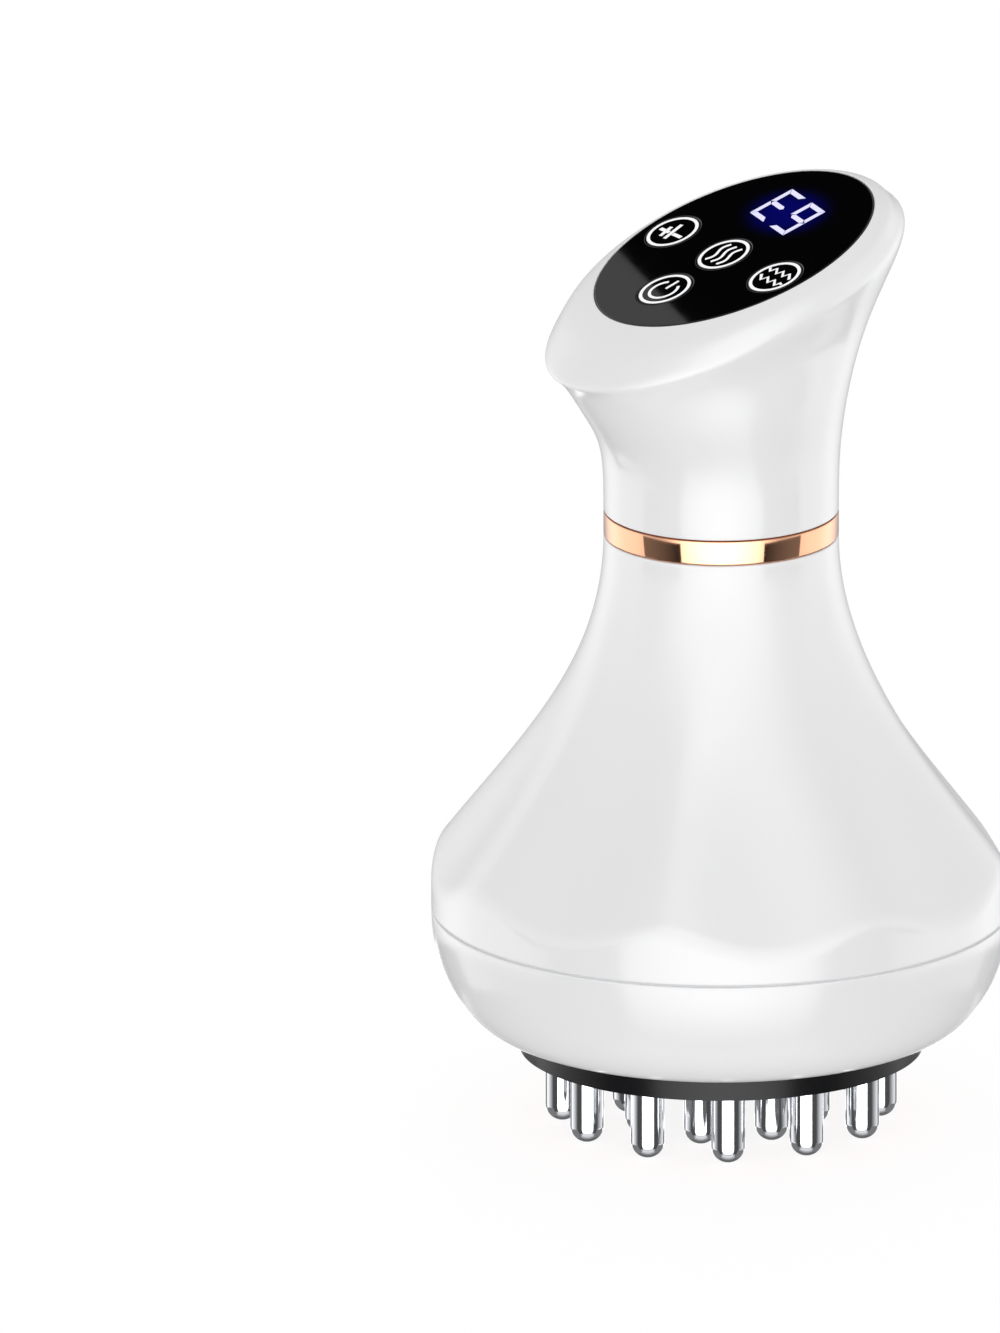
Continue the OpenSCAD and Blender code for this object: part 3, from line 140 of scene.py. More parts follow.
class HeadSizes(bpy.types.PropertyGroup):
    """Sizes of the neck and the tilted head"""
    neck_r: size("Neck radius", "Radius of the neck at the band", box_mm("gold_band", 1, 0))
    band_low: size("Band, lower edge", "Height of the band's lower edge",
                   box_mm("gold_band", 0, 2))
    band_top: size("Band, upper edge", "Height of the band's upper edge",
                   box_mm("gold_band", 1, 2))
    groove: size("Band groove", "Height of the shadow grooves above and below the band", 0.18)
    groove_depth: size("Groove depth", "Depth of those grooves", 0.7)
    band_edge: size("Band rounding", "Rounding of the band's edges", 0.2)
    fit: size("Fit", "Gap between the spigot and its bores", 0.15)
    spigot_low: size("Spigot's lower end", "Height of the lower end of the handle's spigot",
                     box_mm("handle_shell", 0, 2))
    spigot_r: size("Spigot radius", "Radius of the handle's spigot", 17.75)
    spigot_wall: size("Spigot wall", "Wall of the spigot", 1.75)
    spigot_lead: size("Spigot lead", "Height of the bevel at the spigot's lower end", 0.5)
    collar_top: size("Collar's upper end", "Height of the collar inside the neck", 115.5)
    collar_r: size("Collar radius", "Radius of that collar", 19.1)
    boss_ring: size("Boss ring", "Distance of the neck's screw bosses from the axis", 14.4)
    boss_r: size("Boss radius", "Radius of those bosses", 2.6)
    boss_bore: size("Boss bore", "Radius of their bores", 0.85)
    boss_h: size("Boss height", "Height of those bosses", 20)
    neck_end: size("Neck's end", "Height at which the straight neck ends", 121.2)
    waist_z: size("Waist height", "Height of the ring that pulls the handle's middle", 131.6)
    waist_r: size("Waist radius", "Radius of the ring that pulls the handle's middle", 23.3)
    waist_rise: size("Waist rise", "How much higher the waist lies at its high end", 4.7)
    waist_shift: size("Waist shift", "Shift of the waist towards the low end", 0.8)
    throat_drop: size("Throat drop", "How much deeper the throat lies at its high end", 4.9)
    edge_w: size("Edge width", "Flat edge round the panel", 0.4)
    pocket_edge: size("Pocket's edge", "Bevel of the pocket that holds the panel", 0.12)
    inner_wall: size("Head wall", "Wall of the head", 3)
    slot_z: size("Slot height", "Height of the charging socket's slot",
                 (box_mm("charge_socket", 0, 2) + box_mm("charge_socket", 1, 2))/2)
    slot_w: size("Slot width", "Width of the charging socket's slot", 9.3)
    slot_h: size("Slot height across", "Height of the slot", 3.6)
    slot_edge: size("Slot rounding", "Rounding of the slot's mouth", 0.25)


class PanelSizes(bpy.types.PropertyGroup):
    """Sizes of the glossy panel, its keys and its display"""
    tilt: turn("Tilt", "Tilt of the panel from the horizontal", 20)
    height: size("Panel height", "Height of the panel's centre", 155.7)
    shift: size("Panel shift", "Distance of the panel's centre from the axis", 2.6)
    length: size("Panel length", "Length along the slope", 52.2)
    width: size("Panel width", "Width across the slope", 46.2)
    thickness: size("Panel thickness", "Thickness of the panel", 1.5)
    edge: size("Panel rounding", "Rounding of the panel's edges", 0.25)
    gasket: size("Gasket thickness", "Thickness of the gasket under the panel", 0.5)
    gap: size("Panel gap", "Gap between panel and shell", 0.1)
    ledge_w: size("Ledge width", "Width of the ledge under the gasket", 1)
    ledge_t: size("Ledge thickness", "Thickness of the ledge", 1.6)
    depth: size("Board depth", "Depth of the key board below the panel's face", 6.6)
    post_r: size("Post radius", "Radius of the posts under the panel", 1.9)
    screw_r: size("Screw radius", "Radius of the screws in those posts", 0.85)
    key_d: size("Key diameter", "Diameter of each round key", 9.7)
    key_edge: size("Key rounding", "Rounding of a key's edge", 0.15)
    key_gap: size("Key gap", "Gap round each key", 0.15)
    key_play: size("Key play", "Gap between the panel and a key's flange", 0.1)
    flange_w: size("Flange width", "Width of a key's flange under the panel", 0.4)
    flange_t: size("Flange thickness", "Thickness of that flange", 1)
    stem_r: size("Stem radius", "Radius of a key's stem", 1.5)
    stem_h: size("Stem height", "Height of the stem's end above the key board", 2.2)
    key_spread: size("Key spread", "Distance of the side keys from the middle", 16.4)
    key_row: size("Key row", "Distance of the upper row below the panel's centre", 2.2)
    power_row: size("Power key", "Distance of the power key below the panel's centre", 15)
    ring_r: size("Printed ring", "Radius of the ring printed on each key", 4.39)
    ring_w: size("Printed line", "Width of the printed ring's line", 0.6)
    icon_w: size("Icon line", "Width of the icons' lines", 0.55)
    bold_w: size("Bold icon line", "Width of the intensity icon's lines", 0.75)
    print_t: size("Print thickness", "Thickness of the printed ink", 0.03)
    sink: size("Print sink", "Depth to which prints and digits reach into the panel", 0.02)
    digit_h: size("Digit height", "Height of the display's digits", 8.95)
    digit_w: size("Digit width", "Width of a digit", 5.4)
    digit_pitch: size("Digit pitch", "Distance between the digits", 7.75)
    digit_bar: size("Digit bar", "Width of a digit's bars", 1.0)
    digit_gap: size("Digit gap", "Gap between a digit's bars", 0.08)
    digit_slant: turn("Digit slant", "Slant of the digits' upright bars", 3.5)
    digit_slope: turn("Digit slope", "Slope of the display's line, down to the right", 7.5)
    display_x: size("Display, sideways", "Place of the display across the panel", -1.3)
    display_y: size("Display, upwards", "Place of the display up the slope", 12.58)
    glow_w: size("Glow width", "Half width of the glow round the digits", 7.7)
    glow_h: size("Glow height", "Half height of that glow", 5.4)


class PinSizes(bpy.types.PropertyGroup):
    """Sizes of the pin face"""
    pin_d: size("Pin diameter", "Diameter of the pins in both rows", 5.9)
    centre_d: size("Centre pin", "Diameter of the centre pin", 8)
    outer_row: size("Outer row", "Radius of the outer row", 27.4)
    inner_row: size("Inner row", "Radius of the inner row", 16.2)
    channel: size("Channel depth", "Depth of the channel that holds the outer pins", 3)
    collar_h: size("Collar height", "Height of the collar at a pin's root", 0.5)
    collar_w: size("Collar width", "Width of that collar", 0.4)
    collar_edge: size("Collar's edge", "Bevel of that collar", 0.12)
    stud_d: size("Stud diameter", "Diameter of the threaded stud", 3)
    stud_top: size("Stud's end", "Height of the studs' upper ends",
                   box_mm("centre_pin", 1, 2))


class Colours(bpy.types.PropertyGroup):
    """Colours of the surfaces that show"""
    shell: colour("Shell", "White moulded shells", "EFEFF0")
    gold: colour("Band", "Rose-gold plating", "D09D7E")
    panel: colour("Panel", "Glossy black panel", "050506")
    ink: colour("Ink", "White print on the keys", "F2F2F4")
    digit: colour("Digits", "Lit digits", "E2E0FF")
    halo: colour("Halo", "Glow round the digits", "0C10E4")
    plate: colour("Pin plate", "Black plate and rim", "141416")
    chrome: colour("Pins", "Polished plating of the pins", "DCDEE2")
    lens: colour("Light ring", "Red diffuser", "C80A06")
    lamp: colour("Lamps", "Small lamps in the ring", "FFCB6E")
    seal: colour("Seal", "Soft seal in the seam", "DEDEE0")


class StageSizes(bpy.types.PropertyGroup):
    """Camera and light"""
    azimuth: turn("Azimuth", "Camera's angle round the massager", 57.5)
    elevation: turn("Elevation", "Camera's angle above the horizon", 16.35)
    scale: number("Photograph scale", "Pixels of the photograph for a millimetre", 5.8)
    axis_px: bpy.props.FloatVectorProperty(
        name="Axis in the photograph", size=2, default=(721.15, 1044.2),
        description="Pixel where the middle of the pin face lies")
    distance: size("Camera distance", "Distance of the camera from the massager", 1500)
    card_r: size("Card distance", "Distance of the upright cards from the axis", 300)
    floor_share: number("Lit share", "Share of the floor that the camera sees lit evenly", 0.86)
    floor_glow: number("Floor glow", "Strength of that even light", 1.035)
    bounce: number("Bounce light", "Share of light that the floor gives the underside", 0.65)


class Massager(bpy.types.PropertyGroup):
    """All sizes and colours of the massager"""
    base: bpy.props.PointerProperty(type=BaseSizes)
    head: bpy.props.PointerProperty(type=HeadSizes)
    panel: bpy.props.PointerProperty(type=PanelSizes)
    pins: bpy.props.PointerProperty(type=PinSizes)
    colours: bpy.props.PointerProperty(type=Colours)
    stage: bpy.props.PointerProperty(type=StageSizes)


# Surfaces

def patch(points, wrap_rows=False, wrap_cols=True, keep=None):
    """A grid of points as vertices and four-sided faces; keep drops faces where it is False."""
    rows, cols = points.shape[:2]
    i = np.arange(rows if wrap_rows else rows - 1)[:, None]
    j = np.arange(cols if wrap_cols else cols - 1)[None, :]
    k, l = (i + 1) % rows, (j + 1) % cols
    faces = np.stack([i*cols + j, i*cols + l, k*cols + l, k*cols + j], axis=-1)
    return points.reshape(-1, 3), faces.reshape(-1, 4) if keep is None else faces[keep]


def mesh_of(name, patches, caps=()):
    """One mesh of patches: points that meet are merged, and faces turned outwards.

    Open rims at the heights in caps are filled with flat faces.
    """
    start = np.cumsum([0] + [len(points) for points, _ in patches])
    points = np.concatenate([p for p, _ in patches])
    faces = np.concatenate([f + s for (_, f), s in zip(patches, start)])
    mesh = bpy.data.meshes.new(name)
    mesh.from_pydata(points.tolist(), [], faces.tolist())
    edit = bmesh.new()
    edit.from_mesh(mesh)
    bmesh.ops.remove_doubles(edit, verts=edit.verts, dist=2e-7)
    bmesh.ops.dissolve_degenerate(edit, edges=edit.edges, dist=1e-8)
    for z in caps:
        rim = [e for e in edit.edges if e.is_boundary
               and all(abs(v.co.z - z) < 1e-6 for v in e.verts)]
        bmesh.ops.triangle_fill(edit, edges=rim, use_beauty=True, normal=(0, 0, 1))
    bmesh.ops.recalc_face_normals(edit, faces=edit.faces)
    edit.to_mesh(mesh)
    edit.free()
    return mesh


def show(name, mesh, material):
    """Puts a mesh and its material into the scene."""
    mesh.materials.append(material)
    thing = bpy.data.objects.new(name, mesh)
    bpy.context.scene.collection.objects.link(thing)
    return thing


def piece(name, patches, material, body="housing", replaces=(), crease=40,
          panel=None, caps=()):
    mesh = mesh_of(name, patches, caps)
    if panel:
        mesh.transform(from_axes(*panel_axes(panel)))
    mesh.shade_smooth()
    mesh.set_sharp_from_angle(angle=math.radians(crease))
    thing = show(name, mesh, material)
    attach(thing, body)
    if replaces:
        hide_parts(*replaces)


def from_axes(origin, x, y, z):
    """Matrix that takes points of a frame to the massager's frame."""
    rows = np.vstack([np.column_stack([x, y, z, origin]), [0, 0, 0, 1]])
    return Matrix(rows.tolist())


def circle(radius, n, first=0.0):
    """Points (r cos a, r sin a) evenly round a circle, from an angle on."""
    a = first + np.linspace(0, TURN, n, endpoint=False)
    return radius*np.stack([np.cos(a), np.sin(a)], axis=-1)


def repeat(shape, places):
    """Copies of a patch, moved in x and y."""
    points, faces = shape
    return [(points + [x, y, 0], faces) for x, y in places]


def round_about(rows, n):
    """Turns rows of radius and height about the Z axis: (r cos a, r sin a, z)."""
    r, z = np.asarray(rows, float).T
    return np.concatenate([r[:, None, None]*circle(1, n),
                           np.broadcast_to(z[:, None, None], (len(z), n, 1))], axis=-1)


def rounded(corners, radius, steps=5):
    """A closed outline of radius and height with its corners rounded.

    Each corner is a quadratic Bezier curve from a point on the side before it to one on the
    side after it, radius away or less than half the side.
    """
    c = np.asarray(corners, float)
    before, after = np.roll(c, 1, axis=0) - c, np.roll(c, -1, axis=0) - c
    reach = [np.minimum(radius, 0.45*np.linalg.norm(v, axis=1, keepdims=True))
             * v/np.linalg.norm(v, axis=1, keepdims=True) for v in (before, after)]
    curves = ease(c + reach[0], c, c + reach[1], steps)
    return curves.swapaxes(0, 1).reshape(-1, 2)


def ease(first, corner, last, steps=5):
    """Rows of a quadratic Bezier curve from one ring to another over a corner ring."""
    t = np.linspace(0, 1, steps)[:, None, None]
    return (1 - t)**2*first + 2*t*(1 - t)*corner + t**2*last


def spline(controls, s):
    """Uniform cubic B-spline through the first and last control, at s from 0 to their count - 1.

    Beyond each end the control next to it is mirrored, and each point is the usual sum of
    four neighbouring controls with cubic weights.
    """
    ends = 2*controls[[0, -1]] - controls[[1, -2]]
    c = np.concatenate([ends[:1], controls, ends[1:]])
    i = np.clip(np.floor(s).astype(int), 0, len(controls) - 2)
    t = (s - i)[(...,) + (None,)*(controls.ndim - 1)]
    weights = [(1 - t)**3, 3*t**3 - 6*t**2 + 4, 3*t + 3*t**2 - 3*t**3 + 1, t**3]
    return sum(w*c[i + k] for k, w in enumerate(weights))/6


def on_rings(rings, a):
    """Point centre + across cos a + along sin a of each ring."""
    return (rings[..., 0, :] + np.cos(a)[..., None]*rings[..., 1, :]
            + np.sin(a)[..., None]*rings[..., 2, :])


def loft(rings, a, s):
    """Point at angle a of the ring at s, each ring a B-spline over the given rings."""
    a, s = np.broadcast_arrays(a, s)
    return on_rings(spline(rings, s), a)


def panel_axes(panel):
    """Origin and axes of the panel: +X sideways, +Y up the slope, +Z out of its face."""
    c, s = math.cos(panel.tilt), math.sin(panel.tilt)
    return np.array([[0, panel.shift, panel.height], [1, 0, 0], [0, c, s], [0, -s, c]])


# Materials

def add(tree, kind, inputs=None, output=None, to=None, **settings):
    """Adds a node, sets its settings, sets or links its inputs, and gives back an output.

    The output is the named one or else the first in use, and it is linked to a socket if one
    is given.
    """
    made = tree.nodes.new(kind)
    for key, value in settings.items():
        setattr(made, key, value)
    for key, value in (inputs or {}).items():
        if isinstance(value, bpy.types.NodeSocket):
            tree.links.new(value, made.inputs[key])
        else:
            made.inputs[key].default_value = value
    socket = made.outputs[output] if output else next(
        (each for each in made.outputs if not each.is_unavailable), None)
    if to:
        tree.links.new(socket, to)
    return socket


def empty_material(name):
    """A material whose node tree holds only its output, and the tree and that output's socket."""
    made = bpy.data.materials.new(name)
    made.use_nodes = True
    tree = made.node_tree
    tree.nodes.clear()
    return made, tree, tree.nodes.new("ShaderNodeOutputMaterial").inputs["Surface"]


def finish_of(name, grain_mm=0, detail=2, rough=None, depth_mm=0, streak=None, **values):
    """A material with one Principled shader: its tree, the shader's sockets and the places.

    A grain is noise of that size, drawn out by the factors of streak. The roughness varies
    with it between the two values of rough, and a depth makes it a relief.
    """
    made, tree, surface = empty_material(name)
    shader = add(tree, "ShaderNodeBsdfPrincipled",
                 {key.replace("_", " "): value for key, value in values.items()}, to=surface)
    look, places = shader.node.inputs, add(tree, "ShaderNodeTexCoord", output="Object")
    if grain_mm:
        drawn = places
        if streak:
            drawn = add(tree, "ShaderNodeMapping", {"Vector": places, "Scale": streak})
        grain = add(tree, "ShaderNodeTexNoise", {"Vector": drawn, "Scale": 1/(grain_mm*MM),
                                                 "Detail": detail})
        if rough:
            add(tree, "ShaderNodeMapRange", {"Value": grain, "To Min": rough[0],
                                             "To Max": rough[1]}, to=look["Roughness"])
        if depth_mm:
            add(tree, "ShaderNodeBump", {"Height": grain, "Distance": depth_mm*MM},
                to=look["Normal"])
    return made, tree, look, places


def rgba(values):
    """A colour with full alpha."""
    return (*values, 1)


def wave_scale(pitch_mm):
    """Scale at which a Wave node's bands lie at a pitch: at 1 they are a 20th of 2 pi apart."""
    return 0.05/(pitch_mm*MM)*TURN


def polished_abs(colours):
    """ABS, injection moulded in a polished tool: gloss with the faintest orange peel.

    Handling leaves the gloss a little uneven, over patches of about 25 mm; the skin's
    waves are about 3 mm long and a few thousandths of a millimetre deep.
    """
    made, tree, look, places = finish_of("polished white ABS", 25, 3, (0.13, 0.21), IOR=1.5,
                                         Base_Color=rgba(colours.shell))
    waves = add(tree, "ShaderNodeTexNoise", {"Vector": places, "Scale": 1/(3*MM), "Detail": 1})
    add(tree, "ShaderNodeBump", {"Height": waves, "Distance": 0.003*MM}, to=look["Normal"])
    return made


def rose_gold(colours):
    """Rose-gold plating on polished ABS: a warm mirror with fine lapping lines round it.

    The lines stand for 0.05 mm polishing marks, drawn 0.4 mm apart so that they show.
    """
    return finish_of("rose-gold plating", 5, 4, (0.03, 0.09), 0.0006, (1, 1, 12),
                     Base_Color=rgba(colours.gold), Metallic=1.0)[0]


def piano_black(colours, panel):
    """PMMA, back-printed black and hard-coated: a deep mirror, lit blue round the digits.

    The glow falls as e to the minus fourth power of the distance from the display's middle.
    Fine dust and wiping leave the gloss uneven over patches of 4 mm.
    """
    made, tree, look, places = finish_of(
        "back-printed PMMA", 4, 5, (0.015, 0.05), Base_Color=rgba(colours.panel), IOR=1.49,
        Emission_Color=rgba(colours.halo))
    origin, across, upwards, _ = panel_axes(panel)
    middle = origin + panel.display_x*across + panel.display_y*upwards
    turned = add(tree, "ShaderNodeMapping",
                 {"Vector": places, "Location": tuple(middle), "Rotation": (panel.tilt, 0, 0),
                  "Scale": (panel.glow_w, panel.glow_h, panel.glow_h)}, vector_type="TEXTURE")
    away = add(tree, "ShaderNodeVectorMath", {0: turned}, operation="LENGTH")
    fourth = add(tree, "ShaderNodeMath", {0: away, 1: 4.0}, operation="POWER")
    falloff = add(tree, "ShaderNodeMath", {0: math.exp(-1), 1: fourth}, operation="POWER")
    add(tree, "ShaderNodeMapRange", {"Value": falloff, "To Min": 0, "To Max": 0.14},
        to=look["Emission Strength"])
    return made


def screen_ink(colours):
    """White screen-printing ink: flat and slightly chalky, with a grain of 0.15 mm, and a painted
    glow in its own colour at a quarter strength.
    """
    return finish_of("white screen ink with painted glow", 0.15, depth_mm=0.005, Base_Color=rgba(colours.ink),
                     Roughness=0.5, Emission_Color=rgba(colours.ink), Emission_Strength=0.25)[0]


def lit_digit(colours):
    """A lit display segment behind the panel: cool white, a little uneven over 1.5 mm."""
    made, tree, look, places = finish_of(
        "lit display segment", Base_Color=rgba(linear("202028")), Roughness=0.4,
        Emission_Color=rgba(colours.digit))
    cells = add(tree, "ShaderNodeTexNoise", {"Vector": places, "Scale": 1/(1.5*MM)})
    add(tree, "ShaderNodeMapRange", {"Value": cells, "To Min": 0.95, "To Max": 1.1},
        to=look["Emission Strength"])
    return made


def satin_black(colours):
    """Glass-filled nylon, moulded black: satin, with a spark-eroded grain of 0.4 mm."""
    return finish_of("satin black nylon", 0.4, 3, (0.2, 0.3), 0.004, IOR=1.53,
                     Base_Color=rgba(colours.plate), Specular_IOR_Level=0.18)[0]


def chrome_plate(colours):
    """Chrome plating on turned brass: a bright mirror, its gloss uneven over 2 mm."""
    return finish_of("chrome on turned brass", 2, 4, (0.05, 0.11), Metallic=1.0,
                     Base_Color=rgba(colours.chrome))[0]


def red_diffuser(colours):
    """PMMA, moulded in translucent red and lit from behind: glows, most on its bevel.

    The bevel lies 29.8 to 31.4 mm from the axis. Its glow follows the sine of three times
    the angle from the first lamp, so it fades at the six lamps and turns pale between them.
    Moulded rings 0.9 mm apart catch the light.
    """
    made, tree, look, places = finish_of(
        "lit red PMMA", Base_Color=rgba(colours.lens), Roughness=0.18, IOR=1.49)
    flat = add(tree, "ShaderNodeVectorMath", {0: places, 1: (1, 1, 0)}, operation="MULTIPLY")
    radius = add(tree, "ShaderNodeVectorMath", {0: flat}, operation="LENGTH")
    rise = add(tree, "ShaderNodeMapRange", {"Value": radius, "From Min": 29.3*MM,
                                            "From Max": 30.4*MM})
    fall = add(tree, "ShaderNodeMapRange", {"Value": radius, "From Min": 31.1*MM,
                                            "From Max": 32.6*MM, "To Min": 1, "To Max": 0})
    bevel = add(tree, "ShaderNodeMath", {0: rise, 1: fall}, operation="MULTIPLY")
    split = add(tree, "ShaderNodeSeparateXYZ", {"Vector": places}).node.outputs
    angle = add(tree, "ShaderNodeMath", {0: split["Y"], 1: split["X"]}, operation="ARCTAN2")
    thrice = add(tree, "ShaderNodeMath", {0: angle, 1: 3.0, 2: -3*math.radians(15)},
                 operation="MULTIPLY_ADD")
    wave = add(tree, "ShaderNodeMath", {0: thrice}, operation="SINE")
    between = add(tree, "ShaderNodeMath", {0: wave}, operation="ABSOLUTE")
    arcs = add(tree, "ShaderNodeMapRange", {"Value": between, "From Min": 0.25,
                                            "From Max": 0.9, "To Min": 0.12})
    pale = add(tree, "ShaderNodeMath", {0: bevel, 1: arcs}, operation="MULTIPLY")
    add(tree, "ShaderNodeMix", {"Factor": pale, "A": rgba(linear("FF1606")),
                                "B": rgba(linear("FFDC8C"))},
        to=look["Emission Color"], data_type="RGBA")
    body = add(tree, "ShaderNodeMapRange", {"Value": radius, "From Min": 32.2*MM,
                                            "From Max": 33.8*MM, "To Min": 0.5,
                                            "To Max": 0.08})
    add(tree, "ShaderNodeMath", {0: pale, 1: 1.6, 2: body}, to=look["Emission Strength"],
        operation="MULTIPLY_ADD")
    rings = add(tree, "ShaderNodeTexWave", {"Vector": places, "Scale": wave_scale(0.9)},
                output="Fac", wave_type="RINGS", rings_direction="Z")
    add(tree, "ShaderNodeBump", {"Height": rings, "Distance": 0.03*MM}, to=look["Normal"])
    return made


def lamp_epoxy(colours):
    """Clear epoxy of a small lamp, lit: brightest at its tip."""
    made, tree, look, places = finish_of(
        "lit epoxy lamp", Base_Color=rgba(colours.lamp), Roughness=0.1, IOR=1.53,
        Emission_Color=rgba(colours.lamp))
    height = add(tree, "ShaderNodeSeparateXYZ", {"Vector": places}, output="Z")
    add(tree, "ShaderNodeMapRange", {"Value": height, "From Min": 14.2*MM, "From Max": 16*MM,
                                     "To Min": 2.4, "To Max": 0.6},
        to=look["Emission Strength"])
    return made


def soft_seal(colours):
    """Silicone, extruded: soft, matt and a little dusty."""
    return finish_of("grey silicone", 1.5, 4, (0.55, 0.8), Base_Color=rgba(colours.seal),
                     IOR=1.41)[0]


def moulded(name, code, rough=(0.35, 0.5), grain_mm=0.5, depth_mm=0.006):
    """A plain inner moulding, such as nylon or PBT: a dull sheen with an eroded grain."""
    return finish_of(name, grain_mm, 3, rough, depth_mm, Base_Color=rgba(linear(code)),
                     IOR=1.53)[0]


def metal(name, code, rough, streak, grain_mm):
    """A bare metal: its tool marks are noise drawn out by the factors of streak."""
    return finish_of(name, grain_mm, 4, rough, 0.003, streak, Base_Color=rgba(linear(code)),
                     Metallic=1.0)[0]


def circuit_board():
    """FR4 with green solder mask: copper tracks 0.5 mm wide show through as lighter lines."""
    made, tree, look, places = finish_of("FR4 board", Roughness=0.35, IOR=1.5)
    cells = add(tree, "ShaderNodeTexVoronoi", {"Vector": places, "Scale": 1/(3*MM)},
                feature="DISTANCE_TO_EDGE", distance="EUCLIDEAN")
    tracks = add(tree, "ShaderNodeMapRange", {"Value": cells, "From Min": 0.08,
                                              "From Max": 0.1})
    add(tree, "ShaderNodeMix", {"Factor": tracks, "A": rgba(linear("2E8A57")),
                                "B": rgba(linear("0E5A34"))},
        to=look["Base Color"], data_type="RGBA")
    add(tree, "ShaderNodeBump", {"Height": tracks, "Distance": 0.035*MM}, to=look["Normal"])
    return made


def banded(name, first, second, pitch_mm, axis, rough=0.45, depth_mm=0.05, metallic=0.0):
    """Turns or conductors side by side: bands of two colours at a pitch along an axis."""
    made, tree, look, places = finish_of(name, Roughness=rough, Metallic=metallic)
    bands = add(tree, "ShaderNodeTexWave", {"Vector": places, "Scale": wave_scale(pitch_mm)},
                output="Fac", wave_type="BANDS", bands_direction=axis, wave_profile="SIN")
    add(tree, "ShaderNodeMix", {"Factor": bands, "A": rgba(linear(first)),
                                "B": rgba(linear(second))},
        to=look["Base Color"], data_type="RGBA")
    add(tree, "ShaderNodeBump", {"Height": bands, "Distance": depth_mm*MM}, to=look["Normal"])
    return made


def wire_pair(name, right, left):
    """PVC-covered wires: a smooth soft sheen, one colour on each side of the middle."""
    made, tree, look, places = finish_of(name, 1, depth_mm=0.01, Roughness=0.45, IOR=1.52)
    across = add(tree, "ShaderNodeSeparateXYZ", {"Vector": places}, output="X")
    side = add(tree, "ShaderNodeMath", {0: across, 1: 0.0}, operation="LESS_THAN")
    add(tree, "ShaderNodeMix", {"Factor": side, "A": rgba(linear(right)),
                                "B": rgba(linear(left))},
        to=look["Base Color"], data_type="RGBA")
    return made


def dress_inside(colours):
    """Gives every node that keeps its CAD shape the material of its real part."""
    finishes = (
        (moulded("black acrylic foam", "1A1A1B", (0.8, 0.95), 0.3, 0.05), "panel_gasket"),
        (moulded("black PBT", "1B1B1D"),
         "key_switches display_module beeper motor_cap socket_tongue"),
        (moulded("white acetal", "DADADC"),
         "power_plunger intensity_plunger heat_plunger mode_plunger"),
        (moulded("grey nylon", "9FA2A8"), "clamp_ring motor_frame battery_cradle"),
        (moulded("ivory nylon", "E6DFC8"), "board_connectors"),
        (moulded("ferrite", "2E2E33", (0.45, 0.6), 0.25, 0.012), "motor_magnets"),
        (moulded("epoxy chip package", "202022", (0.5, 0.6), 0.2, 0.01), "control_chip"),
        (moulded("PVC shrink sleeve", "2C6FB0", (0.25, 0.4), 6, 0.05), "battery_cell"),
        (moulded("PVC sleeve", "3A3A3E", (0.4, 0.5), 1, 0.01), "charge_wires"),
        (circuit_board(), "ui_board electrode_board driver_board charge_board"),
        (metal("zinc-plated steel", "B9BCC2", (0.22, 0.4), (1, 1, 6), 1.2),
         "ui_board_screws clamp_screws frame_screws motor_screws driver_board_screws "
         "neck_screws"),
        (metal("nickel-plated steel", "C9C7C0", (0.15, 0.3), (1, 1, 1), 1.0),
         "battery_contacts"),
        (metal("deep-drawn steel can", "C2C4C8", (0.2, 0.35), (1, 1, 0.1), 0.6), "motor_can"),
        (metal("stainless steel", "C6C8CC", (0.15, 0.28), (1, 0.15, 1), 0.5),
         "motor_shaft charge_socket"),
        (metal("turned brass", "D2AE62", (0.18, 0.32), (1, 1, 8), 0.8), "pin_nuts"),
        (metal("sintered bronze", "B07A45", (0.35, 0.5), (1, 1, 1), 0.3), "motor_bearings"),
        (metal("sintered tungsten", "77726A", (0.35, 0.5), (1, 1, 1), 0.3),
         "eccentric_weight"),
        (banded("polyimide heating film", "C7782A", "A85E1C", 1.6, "X", 0.3), "heating_film"),
        (banded("enamelled copper winding", "B86A3C", "7E3F1E", 0.5, "Z", 0.3, 0.08, 0.8),
         "motor_rotor"),
        (banded("taped transformer", "E0B52C", "C79A1E", 5, "Z"), "boost_transformer"),
        (banded("sleeved capacitor", "1E2B4A", "18223C", 2.6, "X", 0.35, 0.01), "capacitors"),
        (banded("flat ribbon cable", "E8E8EA", "BFC2C8", 1.0, "X", 0.4), "panel_ribbon"),
        (wire_pair("PVC wire, red and black", "C11A1A", "1C1C1E"), "battery_wires"),
        (wire_pair("PVC wire, blue and yellow", "2A54B8", "D8B21E"), "motor_wires"),
        (wire_pair("PVC wire, white and green", "E2E2E4", "1F8A4A"), "electrode_wires"),
        (satin_black(colours), "pin_plate"),
        (red_diffuser(colours), "light_ring"),
        (lamp_epoxy(colours), "red_lamps"))
    for material, nodes in finishes:
        for node in nodes.split():
            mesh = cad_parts[node].data
            mesh.materials.clear()
            mesh.materials.append(material)


# Pieces

def bell_ring(base, r, h, fade=0, n=384):
    """Rings of the bell: (r cos a, r sin a, face + h - dip fade flute(a)).

    The flute is the squared sine of half the flute count times the angle, to a power that
    softens its ridges.
    """
    a = np.linspace(0, TURN, n, endpoint=False)
    flute = (np.sin(base.flutes*a/2)**2)**base.flute_softness
    r, h, fade = (np.atleast_1d(v)[:, None] for v in (r, h, fade))
    z = base.face_z + h - base.flute_dip*fade*flute
    return np.stack([r*np.cos(a), r*np.sin(a), z], axis=-1)


